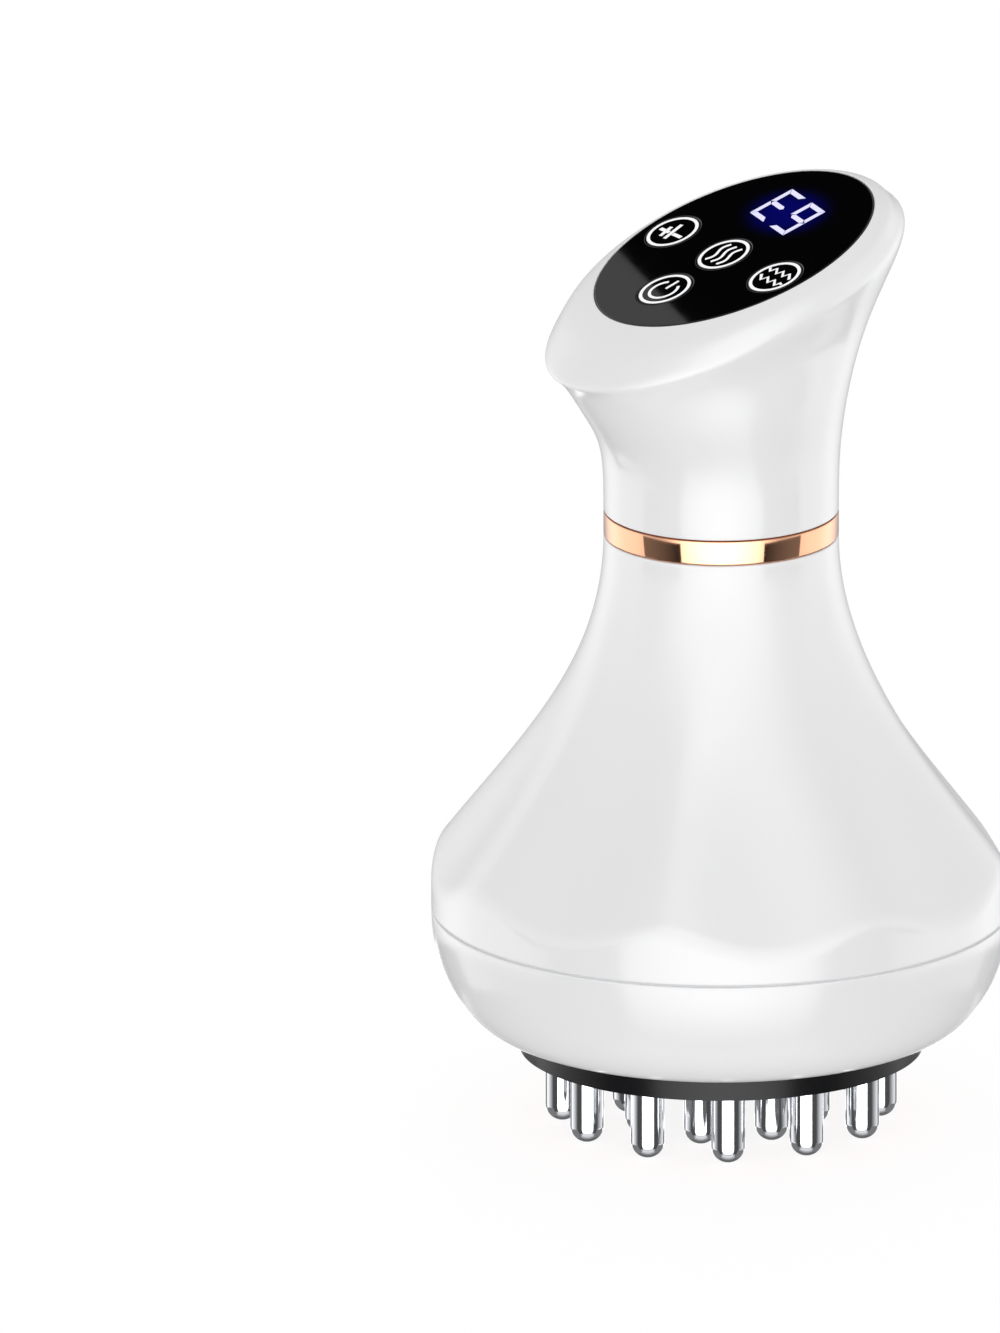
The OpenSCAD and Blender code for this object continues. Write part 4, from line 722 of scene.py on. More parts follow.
def bell_outline(base, head, steps=72):
    """Radius, height and flute share along the bell, from the shoulder's foot to the band.

    The shoulder is an arc; the flare is a cubic Bezier curve that leaves it in line and
    arrives upright at the band, and the flutes fade along it as w w (3 - 2 w).
    """
    lean = base.flare_turn
    a = np.linspace(0, lean, 13)
    foot = np.array([base.radius - base.shoulder_r*(1 - math.cos(lean)), base.shoulder_h])
    arc_r = base.radius - base.shoulder_r*(1 - np.cos(a))
    arc_h = base.shoulder_h - base.shoulder_r*(math.sin(lean) - np.sin(a))
    top = np.array([head.neck_r, head.band_low - base.face_z])
    pulls = [foot, foot + base.flare_pull*np.array([-math.sin(lean), math.cos(lean)]),
             top - [0, base.neck_pull], top]
    t = np.linspace(0, 1, steps)[1:]
    weights = [(1 - t)**3, 3*t*(1 - t)**2, 3*t**2*(1 - t), t**3]
    flare = sum(np.outer(w, p) for w, p in zip(weights, pulls))
    w = np.maximum(0, 1 - t/base.flute_reach)
    return (np.concatenate([arc_r, flare[:, 0]]), np.concatenate([arc_h, flare[:, 1]]),
            np.concatenate([np.ones(len(a)), w*w*(3 - 2*w)]))


class MASSAGER_OT_bell(bpy.types.Operator):
    """Makes the fluted bell between the seam and the metal band"""
    bl_idname = "massager.bell"
    bl_label = "Bell"

    def execute(self, context):
        """Outer skin, rounded edges, bores of the neck and inner skin, as one closed skin."""
        settings = context.scene.massager
        base, head = settings.base, settings.head
        r, h, fade = bell_outline(base, head)
        skin = bell_ring(base, r, h, fade)
        foot_h, top_h = base.seam_h + base.seam_t/2, head.band_low - base.face_z
        edge = bell_ring(base, base.radius, foot_h)
        above = bell_ring(base, base.radius, foot_h + base.edge)
        inward = bell_ring(base, base.radius - base.edge, foot_h)
        side = np.linspace(0, 1, 10)[:, None, None]
        brim = bell_ring(base, head.neck_r - base.edge, top_h)
        bore_r = head.spigot_r + head.fit
        floor_h = head.spigot_low - base.face_z - base.wall
        under_h = floor_h - base.wall
        bore = ((bore_r, top_h), (bore_r, floor_h), (base.wire_hole_r, floor_h),
                (base.wire_hole_r, under_h),
                (np.interp(under_h, h, r) - base.wall, under_h))
        # The inner skin starts 2 mm below the inner floor, clear of its corner.
        low = h < under_h - 2*MM
        rows = [ease(inward, edge, above), (1 - side)*above + side*skin[0],
                skin[h < top_h - base.edge],
                ease(skin[-1] - [0, 0, base.edge], skin[-1], brim[0]),
                *[bell_ring(base, *p) for p in bore],
                bell_ring(base, r[low][::-1] - base.wall, h[low][::-1], fade[low][::-1]),
                bell_ring(base, base.radius - base.wall, foot_h)]
        piece("bell", [patch(np.concatenate(rows), wrap_rows=True)],
              polished_abs(settings.colours), replaces=["bell_shell"])
        return {"FINISHED"}


def underside(base, r0, z0, r1, z1, a):
    """Quarter of a superellipse from (r0, z0) out and up to (r1, z1), at angles a."""
    power = 2/base.fullness
    return np.stack([r0 + (r1 - r0)*np.sin(a)**power,
                     z0 + (z1 - z0)*(1 - np.cos(a)**power)], axis=-1)


class MASSAGER_OT_base(bpy.types.Operator):
    """Makes the base shell with its full, rounded underside"""
    bl_idname = "massager.base"
    bl_label = "Base"

    def execute(self, context):
        """Turned outline: floor, superellipse, seam edge, inner lip and inner skin."""
        settings = context.scene.massager
        base = settings.base
        top = base.face_z + base.seam_h - base.seam_t/2
        low = base.face_z + base.skirt_h
        belly = base.face_z + base.belly_h
        rise = (top - base.edge - low)/(belly - low)
        last = math.acos((1 - rise)**(base.fullness/2))
        outer = underside(base, base.foot_r, low, base.radius, belly, np.linspace(0, last, 64))
        r = outer[-1, 0]
        edge = ease(outer[-1], np.array([r, top]), np.array([r - base.edge, top]))[:, 0]
        lip_r = base.radius - base.wall - base.lip_gap
        well_r = lip_r - base.lip_t
        lip_top = base.face_z + base.seam_h + base.lip_h
        floor = low + base.wall
        inner = underside(base, base.floor_r, floor, well_r, lip_top - base.lip_depth,
                          np.linspace(math.pi/2, 0, 32))
        lip = [[lip_r, top], [lip_r, lip_top], [well_r, lip_top]]
        opening = [[base.opening_r, floor], [base.opening_r, low + base.opening_edge],
                   [base.opening_r + base.opening_edge, low]]
        rows = np.concatenate([outer, edge[1:], lip, inner, opening])
        foot, end = low + base.boss_low, base.face_z + base.boss_top
        boss = [[base.boss_bore, foot], [base.boss_r, foot], [base.boss_r, end],
                [base.boss_bore, end]]
        piece("base", [patch(round_about(rows, 256), wrap_rows=True),
                       *repeat(patch(round_about(boss, 32), wrap_rows=True),
                               circle(base.boss_ring, 4, TURN/8))],
              polished_abs(settings.colours), replaces=["base_shell"])
        return {"FINISHED"}


class MASSAGER_OT_seal(bpy.types.Operator):
    """Makes the soft seal in the seam between base and bell"""
    bl_idname = "massager.seal"
    bl_label = "Seal"

    def execute(self, context):
        """Turned outline with a bead that bulges towards the seam's mouth."""
        settings = context.scene.massager
        base = settings.base
        z, half = base.face_z + base.seam_h, base.seam_t/2
        r, back = base.radius - base.bead_depth, base.radius - base.wall + base.lip_gap
        a = np.linspace(-math.pi/2, math.pi/2, 9)
        bead = np.stack([r - half*(1 - np.cos(a)), z + half*np.sin(a)], axis=-1)
        rows = np.concatenate([bead, [[back, z + half], [back, z - half]]])
        piece("seal", [patch(round_about(rows, 256), wrap_rows=True)],
              soft_seal(settings.colours), replaces=["seam_seal"])
        return {"FINISHED"}


class MASSAGER_OT_band(bpy.types.Operator):
    """Makes the plated band between bell and handle"""
    bl_idname = "massager.band"
    bl_label = "Band"

    def execute(self, context):
        """Turned outline with rounded edges and a shadow groove at either end."""
        settings = context.scene.massager
        head = settings.head
        bore, step = head.spigot_r + head.fit, head.neck_r - head.groove_depth
        low, top, groove = head.band_low, head.band_top, head.groove
        corners = [[bore, low], [step, low], [step, low + groove], [head.neck_r, low + groove],
                   [head.neck_r, top - groove], [step, top - groove], [step, top], [bore, top]]
        rows = rounded(corners, head.band_edge, 6)
        piece("band", [patch(round_about(rows, 256), wrap_rows=True)],
              rose_gold(settings.colours), replaces=["gold_band"])
        return {"FINISHED"}


# Control rings of the head in metres: half length, half width, shift down the slope, and
# depth below the panel's face.
THROAT, LIP, RIM, BROW = MM*np.array([[29.2, 23, 8.4, 12.1], [36.2, 26.8, 3.9, 6.1],
                                      [32.5, 26.7, 3.1, 3.7], [30.6, 26.1, 1.6, 1.4]])


def neck_ring(r, z, rise=0.0, shift=0.0):
    """Centre, half axis across and half axis along of a round ring of the neck."""
    return [[0, -shift, z], [r, 0, 0], [0, r, rise]]


def head_ring(axes, length, width, shift=0.0, depth=0.0, drop=0.0):
    """Centre and half axes of an oval ring of the head, given in the panel's frame."""
    origin, x, y, z = axes
    return [origin - shift*y - depth*z, width*x, length*y - drop*z]


def head_rings(head, axes, r, wall=0.0):
    """Control rings from the band to the rim, the head's drawn in by a wall's thickness."""
    thin = np.array([wall, wall, 0, 0])
    return [neck_ring(r, head.band_top), neck_ring(r, head.neck_end),
            neck_ring(head.waist_r - wall, head.waist_z, head.waist_rise, head.waist_shift),
            head_ring(axes, *THROAT - thin, head.throat_drop), head_ring(axes, *LIP - thin),
            head_ring(axes, *RIM - thin)]


def slot_outline(width, height, count):
    """Points round a slot with round ends, evenly spaced along it from its right end.

    Each is half the height from a middle. The middle rests at an end while the angle turns,
    and crosses to the other end while the angle rests.
    """
    r, flat = height/2, width - height
    quarter = math.pi/2*r
    ends = np.cumsum([0, quarter, flat, 2*quarter, flat, quarter])
    along = np.arange(count)/count*ends[-1]
    middle = np.interp(along, ends, flat/2*np.array([1, 1, -1, -1, 1, 1]))
    a = np.interp(along, ends, math.pi/2*np.array([0, 1, 1, 3, 3, 4]))
    return np.stack([middle + r*np.cos(a), r*np.sin(a)], axis=-1)


def find_on(rings, target, guess):
    """Angles and spline places where the loft has the given x and z, by Newton's steps."""
    at = np.array(guess, float)
    h = 1e-5
    for _ in range(12):
        miss = loft(rings, at[:, 0], at[:, 1])[:, [0, 2]] - target
        da = (loft(rings, at[:, 0] + h, at[:, 1])[:, [0, 2]] - target - miss)/h
        ds = (loft(rings, at[:, 0], at[:, 1] + h)[:, [0, 2]] - target - miss)/h
        at -= np.linalg.solve(np.stack([da, ds], axis=-1), miss[..., None])[..., 0]
    return at


def pierced_loft(rings, a, s, middle, width, height, cols=14, low=3, high=11):
    """A loft's grid with a window at its back, and a patch from the window to a slot.

    The patch is worked out in the loft's own parameters: the window's border and the slot's
    points are matched in order and joined by straight lines.
    """
    first, last, half = len(a)//4 - cols, len(a)//4 + cols, (low + high)//2
    keep = np.ones((len(s) - 1, len(a)), bool)
    keep[low:high, first:last] = False
    i = np.concatenate([np.arange(half, high), np.full(2*cols, high),
                        np.arange(high, low, -1), np.full(2*cols, low), np.arange(low, half)])
    j = np.concatenate([np.full(high - half, last), np.arange(last, first, -1),
                        np.full(high - low, first), np.arange(first, last),
                        np.full(half - low, last)])
    border = np.stack([a[j], s[i]], axis=-1)
    target = slot_outline(width, height, len(border))*[-1, 1] + [0, middle]
    found = find_on(rings, target, border)
    t = np.linspace(0, 1, 7)[:, None, None]**0.8
    between = (1 - t)*found + t*border
    return [patch(loft(rings, a, s[:, None]), keep=keep),
            patch(loft(rings, between[..., 0], between[..., 1]))], \
        loft(rings, found[:, 0], found[:, 1])


class MASSAGER_OT_handle(bpy.types.Operator):
    """Makes the handle: neck, tilted head and the spigot inside"""
    bl_idname = "massager.handle"
    bl_label = "Handle"

    def execute(self, context):
        """Lofted outer and inner skins, joined at the band, the panel and the slot."""
        settings = context.scene.massager
        base, head, panel = settings.base, settings.head, settings.panel
        axes, edge = panel_axes(panel), base.edge
        a = np.linspace(0, TURN, 256, endpoint=False)
        half = np.array([panel.length/2, panel.width/2])
        pocket, ledge = half + panel.gap, half - panel.ledge_w
        seat = panel.thickness + panel.gasket
        under = seat + panel.ledge_t
        outer = np.array([*head_rings(head, axes, head.neck_r), head_ring(axes, *BROW),
                          head_ring(axes, *half + head.edge_w)])
        inner = np.array([*head_rings(head, axes, head.neck_r - base.wall, head.inner_wall),
                          head_ring(axes, *ledge, 0, under)])

        # Places along the skins: evenly up the neck, closer at the slot, evenly up the head.
        start = edge/(head.neck_end - head.band_top)
        slot_s = np.linspace(0.66, 1.2, 7)
        s = np.concatenate([np.linspace(start, 0.55, 4), slot_s, np.linspace(1.3, 6.94, 92)])
        s_in = np.concatenate([np.linspace(0, 0.55, 4), slot_s, np.linspace(1.3, 6, 40)])
        skin, lip = pierced_loft(outer, a, s, head.slot_z, head.slot_w + 2*head.slot_edge,
                                 head.slot_h + 2*head.slot_edge)
        inside, mouth = pierced_loft(inner, a, s_in, head.slot_z, head.slot_w, head.slot_h)

        wall = slot_outline(head.slot_w, head.slot_h, len(lip))
        throat = np.stack([-wall[:, 0], lip[:, 1] - head.slot_edge, wall[:, 1] + head.slot_z],
                          axis=-1)
        corner = np.stack([throat[:, 0], lip[:, 1], throat[:, 2]], axis=-1)
        way = np.linspace(0, 1, 4)[1:, None, None]
        slot = np.concatenate([ease(lip, corner, throat), (1 - way)*throat + way*mouth])
        foot = np.concatenate([loft(inner, a, np.zeros((1, 1))), ease(
            on_rings(np.array(neck_ring(head.neck_r - edge, head.band_top)), a),
            loft(outer, a, 0), loft(outer, a, start))])
        flat = np.array([head_ring(axes, *pocket + head.pocket_edge),
                         head_ring(axes, *pocket, 0, head.pocket_edge),
                         head_ring(axes, *pocket, 0, seat), head_ring(axes, *ledge, 0, seat),
                         head_ring(axes, *ledge, 0, under)])
        steps = on_rings(flat[:, None], a)
        brim = np.concatenate([ease(loft(outer, a, s[-1]), loft(outer, a, 7.0), steps[0]),
                               steps[1:]])

        low, bore = head.spigot_low, head.spigot_r - head.spigot_wall
        # The bevel at the spigot's lower end goes in by 0.6 of its height.
        spigot = [[bore, low], [head.spigot_r - 0.6*head.spigot_lead, low],
                  [head.spigot_r, low + head.spigot_lead], [head.spigot_r, head.band_top],
                  [head.collar_r, head.band_top], [head.collar_r, head.collar_top],
                  [bore, head.collar_top]]
        end = low + head.boss_h
        boss = [[head.boss_bore, low], [head.boss_r, low], [head.boss_r, end],
                [head.boss_bore, end]]
        piece("handle", [*skin, *inside, patch(slot), patch(foot), patch(brim),
                         patch(round_about(spigot, 128), wrap_rows=True),
                         *repeat(patch(round_about(boss, 24), wrap_rows=True),
                                 circle(head.boss_ring, 3, TURN/4))],
              polished_abs(settings.colours), replaces=["handle_shell"])
        return {"FINISHED"}


POSTS = MM*np.array([[14.2, 8.6], [-14.2, 8.6], [8.6, -12.4], [-8.6, -12.4]])

# Distance from a rounded edge of the ring that keeps its shading narrow.
HOLD = 0.1*MM


def key_places(panel):
    """Middle of each key in the panel's frame."""
    return {"power": (0, -panel.power_row), "intensity": (-panel.key_spread, -panel.key_row),
            "heat": (0, -panel.key_row), "mode": (panel.key_spread, -panel.key_row)}


def wall_rows(outlines, heights):
    """Rows of a wall: each outline of x and y at its own height."""
    return np.stack([np.column_stack([o, np.full(len(o), h)])
                     for o, h in zip(outlines, heights)])


class MASSAGER_OT_panel(bpy.types.Operator):
    """Makes the glossy panel with its four key holes and the posts under it"""
    bl_idname = "massager.panel"
    bl_label = "Panel"

    def execute(self, context):
        """Walls with rounded edges round the oval and each hole, then flat faces between."""
        settings = context.scene.massager
        panel = settings.panel
        r, t = panel.edge, panel.thickness
        turns = np.linspace(0, math.pi/2, 6)
        inset = np.concatenate([[r + HOLD], r*(1 - np.sin(turns)), [0, HOLD]])
        depth = np.concatenate([[0], -r*(1 - np.cos(turns)), [-t, -t]])
        half = np.array([panel.width/2, panel.length/2])
        hole = panel.key_d/2 + panel.key_gap
        rim = patch(wall_rows([circle(half - d, 160) for d in inset], depth))
        edge = patch(wall_rows([circle(hole + d, 64) for d in inset], depth)[:, ::-1])
        post = [[panel.screw_r, -panel.depth], [panel.post_r, -panel.depth],
                [panel.post_r, -t/2], [panel.screw_r, -t/2]]
        piece("panel", [rim, *repeat(edge, key_places(panel).values()),
                        *repeat(patch(round_about(post, 24), wrap_rows=True), POSTS)],
              piano_black(settings.colours, panel),
              replaces=["control_panel"], panel=panel, caps=(0, -t))
        return {"FINISHED"}


def plate(outline, low, high):
    """A flat print with a convex outline: two faces fanned from its middle, and its edge."""
    middle = np.broadcast_to(outline.mean(axis=0), outline.shape)
    return patch(wall_rows([middle, outline, outline, middle], [low, low, high, high]))


def stroke(path, width, low, high, closed=False):
    """A flat print along a path: a bar whose section is carried along it, ends closed."""
    p = np.asarray(path, float)
    if closed:
        t = np.roll(p, -1, axis=0) - np.roll(p, 1, axis=0)
    else:
        t = np.gradient(p, axis=0)
    t /= np.linalg.norm(t, axis=1, keepdims=True)
    side = np.stack([-t[:, 1], t[:, 0]], axis=-1)*width/2
    rows = wall_rows([p + side, p + side, p - side, p - side],
                     [low, high, high, low]).swapaxes(0, 1)
    if not closed:
        ends = [np.broadcast_to(rows[k].mean(axis=0), rows[k].shape)[None] for k in (0, -1)]
        rows = np.concatenate([ends[0], rows, ends[1]])
    return patch(rows, wrap_rows=closed)


def icon_strokes(key):
    """The print on a key, as paths in millimetres about its middle.

    Power is a broken ring with a stroke up through the gap. Intensity is a plus, a slash
    and a minus. Heat is three waves, and mode is two zigzag rows.
    """
    if key == "power":
        a = math.pi/2 + np.linspace(0.62, TURN - 0.62, 40)
        return [2.6*np.stack([np.cos(a), np.sin(a)], axis=-1) - [0, 0.25],
                [[0, 0.2], [0, 1.6], [0, 3.0]]]
    if key == "intensity":
        return [np.linspace(*ends, 3) for ends in (
            ((-3.2, -0.45), (-0.45, -0.45)), ((-1.65, 0.9), (-1.0, -2.0)),
            ((-0.45, 2.3), (0.6, -2.2)), ((0.75, -0.45), (3.3, -0.45)))]
    if key == "heat":
        y = np.linspace(-2.75, 2.75, 40)
        return [np.stack([x - 0.45*np.sin(TURN*y/5), y], axis=-1) for x in (-1.75, 0, 1.75)]
    return [[[-3.6, 1.5], [-2.7, 0.75], [-2.1, 1.95], [-0.7, 0.75], [-0.1, 1.95],
             [1.3, 0.75], [1.9, 1.95], [3.4, 0.75]],
            [[-3.3, -0.65], [-1.8, -1.85], [-1.2, -0.65], [0.4, -1.85], [0.95, -0.65],
             [2.5, -1.85], [2.95, -0.8], [3.6, -1.1]]]


class MASSAGER_OT_keys(bpy.types.Operator):
    """Makes the four keys, each with its printed ring and icon"""
    bl_idname = "massager.keys"
    bl_label = "Keys"

    def execute(self, context):
        """Turned caps with a rounded edge, a hidden flange and a stem, and thin prints."""
        settings = context.scene.massager
        panel = settings.panel
        r, edge = panel.key_d/2, panel.key_edge
        turns = np.linspace(0, math.pi/2, 5)
        under, low = -panel.thickness - panel.key_play, -panel.depth + panel.stem_h
        flange, back = r + panel.flange_w, under - panel.flange_t
        cap = np.concatenate([
            [[0, 0], [r - edge - HOLD, 0]],
            np.stack([r - edge*(1 - np.sin(turns)), -edge*(1 - np.cos(turns))], axis=-1),
            [[r, under], [flange, under], [flange, back], [panel.stem_r, back],
             [panel.stem_r, low], [0, low]]])
        gloss, ink = piano_black(settings.colours, panel), screen_ink(settings.colours)
        layer = -panel.sink, panel.print_t
        ring = stroke(circle(panel.ring_r, 96), panel.ring_w, *layer, closed=True)
        for key, place in key_places(panel).items():
            body = key + "_button"
            piece(key + "_key_cap", repeat(patch(round_about(cap, 96)), [place]), gloss, body,
                  [key + "_key"], panel=panel)
            line = panel.bold_w if key == "intensity" else panel.icon_w
            icon = [stroke(MM*np.array(path), line, *layer) for path in icon_strokes(key)]
            prints = [copy for part in (ring, *icon) for copy in repeat(part, [place])]
            piece(key + "_print", prints, ink, body, crease=20, panel=panel)
        return {"FINISHED"}


DIGITS = [["top", "middle", "bottom", "upper_left", "lower_left"],
          ["top", "middle", "bottom", "upper_left", "upper_right", "lower_right"]]


def bar_outline(panel, name):
    """Corners of a digit's bar: the outer bars are mitred, the middle one has pointed ends."""
    x, y, bar, gap = panel.digit_w/2, panel.digit_h/2, panel.digit_bar, panel.digit_gap
    if name == "middle":
        tip = x - bar/2 - gap
        return np.array([[-tip, 0], [bar/2 - tip, -bar/2], [tip - bar/2, -bar/2], [tip, 0],
                         [tip - bar/2, bar/2], [bar/2 - tip, bar/2]])
    flip = [1, -1 if name == "bottom" or "lower" in name else 1]
    if name in ("top", "bottom"):
        return flip*np.array([[gap - x, y], [bar + gap - x, y - bar], [x - bar - gap, y - bar],
                              [x - gap, y]])
    side = [1 if "right" in name else -1, 1]
    return np.array([[x, y - gap], [x - bar, y - bar - gap], [x - bar, bar/2 + gap],
                     [x, gap/2]])*flip*side


class MASSAGER_OT_display(bpy.types.Operator):
    """Makes the lit two-digit display"""
    bl_idname = "massager.display"
    bl_label = "Display"

    def execute(self, context):
        """Flat bars sheared by the slant and the slope.

        x becomes x + y tan(slant), and then y becomes y - x tan(slope).
        """
        settings = context.scene.massager
        panel = settings.panel
        bars = []
        for k, lit in enumerate(DIGITS):
            for name in lit:
                bar = bar_outline(panel, name)
                bar[:, 0] += bar[:, 1]*math.tan(panel.digit_slant)
                bar[:, 0] += (k - 0.5)*panel.digit_pitch
                bar[:, 1] -= bar[:, 0]*math.tan(panel.digit_slope)
                bars.append(plate(bar + [panel.display_x, panel.display_y], -panel.sink,
                                  panel.sink))
        piece("display_digits", bars, lit_digit(settings.colours), crease=20,
              panel=panel)
        return {"FINISHED"}


def pin_outline(pins, radius, root, collar):
    """Outline of a pin from its tip: half round end, shank, collar at the root, stud."""
    a = np.linspace(0, math.pi/2, 14)
    dome = np.stack([radius*np.sin(a), radius*(1 - np.cos(a))], axis=-1)
    stud = pins.stud_d/2
    foot = [[radius, root]]
    if collar:
        wide, c = radius + pins.collar_w, pins.collar_edge
        low = root - pins.collar_h
        foot = [[radius, low - c], [radius + c/2, low], [wide - c, low], [wide, low + c],
                [wide, root]]
    return np.concatenate([dome, foot, [[stud, root], [stud, pins.stud_top],
                                        [0, pins.stud_top]]])


class MASSAGER_OT_pins(bpy.types.Operator):
    """Makes the 21 plated pins with their domed ends"""
    bl_idname = "massager.pins"
    bl_label = "Pins"

    def execute(self, context):
        """Turned outlines, repeated round the two rows."""
        settings = context.scene.massager
        pins, face = settings.pins, settings.base.face_z
        chrome = chrome_plate(settings.colours)
        for node, count, ring, width, root, collar in (
                ("outer_pins", 12, pins.outer_row, pins.pin_d, face + pins.channel, False),
                ("inner_pins", 8, pins.inner_row, pins.pin_d, face, True),
                ("centre_pin", 1, 0.0, pins.centre_d, face, True)):
            pin = patch(round_about(pin_outline(pins, width/2, root, collar), 48))
            piece(node + "_plated", repeat(pin, circle(ring, count)), chrome,
                  replaces=[node])
        return {"FINISHED"}


class MASSAGER_OT_inside(bpy.types.Operator):
    """Gives the inner parts, the pin plate and the light ring their materials"""
    bl_idname = "massager.inside"
    bl_label = "Inner parts"

    def execute(self, context):
        """Materials alone: these nodes keep their CAD shape."""
        dress_inside(context.scene.massager.colours)
        return {"FINISHED"}


# Stage

def camera_axes(stage):
    """Directions to the right, up and back towards the camera."""
    a, e = stage.azimuth, stage.elevation
    right = np.array([math.cos(a), math.sin(a), 0])
    back = np.array([math.sin(a)*math.cos(e), -math.cos(a)*math.cos(e), math.sin(e)])
    return right, np.cross(back, right), back


def photo_point(settings, pixel):
    """The place in space of a pixel, on the plane through the middle of the pin face."""
    stage = settings.stage
    right, up, _ = camera_axes(stage)
    x, y = (np.asarray(pixel, float) - stage.axis_px)/stage.scale*MM
    return np.array([0, 0, settings.base.face_z]) + right*x - up*y


def card(name, points, strength, graded=None):
    """A glowing sheet of the stage that only reflections see, even or graded.

    A graded card is given its far strength, a direction, and the two distances along it
    between which the strength changes.
    """
    made, tree, surface = empty_material(name)
    glow = add(tree, "ShaderNodeEmission", {"Strength": strength}, to=surface)
    if graded:
        far, way, first, last = graded
        places = add(tree, "ShaderNodeTexCoord", output="Object")
        along = add(tree, "ShaderNodeVectorMath", {0: places, 1: tuple(way)},
                    operation="DOT_PRODUCT")
        add(tree, "ShaderNodeMapRange", {"Value": along, "From Min": first, "From Max": last,
                                         "To Min": strength, "To Max": far},
            to=glow.node.inputs["Strength"])
    thing = show(name, mesh_of(name, [patch(points, wrap_cols=False)]), made)
    for ray in ("camera", "diffuse", "transmission", "volume_scatter", "shadow"):
        setattr(thing, "visible_" + ray, False)


def curved_card(stage, first, last, low, high):
    """Upright part of a cylinder between two angles from the camera's direction."""
    a = stage.azimuth - math.pi/2 + np.radians(np.linspace(first, last, 24))
    z = np.array([low, high])[:, None]
    r = stage.card_r
    return np.stack(np.broadcast_arrays(r*np.cos(a), r*np.sin(a), z), axis=-1)


def floor_card(right, level, ends):
    """Strip 0.3 m below the floor, from 0.5 m behind the axis to a slanting front edge."""
    return np.array([[right*x - level*0.5 - [0, 0, 0.3], right*x + level*y - [0, 0, 0.3]]
                     for x, y in ends])


def panel_card(settings, sides):
    """A card whose mirror image in the panel's plane ends at the photograph's slanting line.

    The line's two pixels are taken to the panel's plane, and the card is that plane's strip
    beside the line, moved 0.35 m along the mirrored line of sight.
    """
    origin, _, _, normal = panel_axes(settings.panel)
    back = camera_axes(settings.stage)[2]
    facing = back @ normal
    points = [photo_point(settings, pixel) for pixel in ((621.7, 254), (685, 320))]
    first, last = (p + back*((origin - p) @ normal)/facing for p in points)
    along = (last - first)/np.linalg.norm(last - first)
    across = np.cross(along, normal)
    middle = (first + last)/2 + (2*facing*normal - back)*0.35
    return np.array([[middle + across*s + along*t for t in (-0.09, 0.09)] for s in sides])


def pale_floor(stage):
    """Seamless paper: matt white. The camera sees it lit, with a soft shadow.

    Up to 0.11 m from the axis it also glows for what stands on it, as a bounce light.
    """
    made, tree, surface = empty_material("seamless paper")
    rays = add(tree, "ShaderNodeLightPath").node.outputs
    seen = add(tree, "ShaderNodeMath", {0: rays["Is Camera Ray"],
                                        1: rays["Is Transmission Ray"]}, operation="MAXIMUM")
    lit_share = add(tree, "ShaderNodeMath", {0: seen, 1: stage.floor_share},
                    operation="MULTIPLY")
    places = add(tree, "ShaderNodeTexCoord", output="Object")
    away = add(tree, "ShaderNodeVectorMath", {0: places}, operation="LENGTH")
    bounce = add(tree, "ShaderNodeMapRange", {"Value": away, "From Min": 0.05,
                                              "From Max": 0.11, "To Min": stage.bounce,
                                              "To Max": 0})
    share = add(tree, "ShaderNodeMath", {0: lit_share, 1: bounce}, operation="MAXIMUM")
    paper = add(tree, "ShaderNodeBsdfDiffuse", {"Color": rgba(linear("F4F4F4"))})
    lit = add(tree, "ShaderNodeEmission", {"Strength": stage.floor_glow})
    add(tree, "ShaderNodeMixShader", {0: share, 1: paper, 2: lit}, to=surface)
    return made


# Soft lights round the massager: angle from the camera's direction to its right, elevation,
# width of the lobe as a cosine's power, strength for matt surfaces and for reflections.
SOFT_LIGHTS = [(0, 5, 6, 1.52, 0), (180, 40, 6, 0.88, 0), (0, -20, 12, 0, 3.4),
               (0, 10, 12, 0, 1.3), (0, 40, 12, 0, 2.5),
               *[(side*angle, height, 12, 0, strength) for side in (-1, 1)
                 for angle, height, strength in ((30, -20, 2.05), (30, 10, 2.1), (92, -20, 1.2),
                                                 (90, 10, 0.9), (130, -20, 1.5),
                                                 (130, 10, 0.95))]]
ROOM_LIGHT = {"diffuse": 0.66, "glossy": 0.4}


def light_way(stage, angle, elevation):
    """Unit vector at an angle from the camera's direction, and an elevation."""
    a = stage.azimuth - math.pi/2 + math.radians(angle)
    e = math.radians(elevation)
    return math.cos(a)*math.cos(e), math.sin(a)*math.cos(e), math.sin(e)


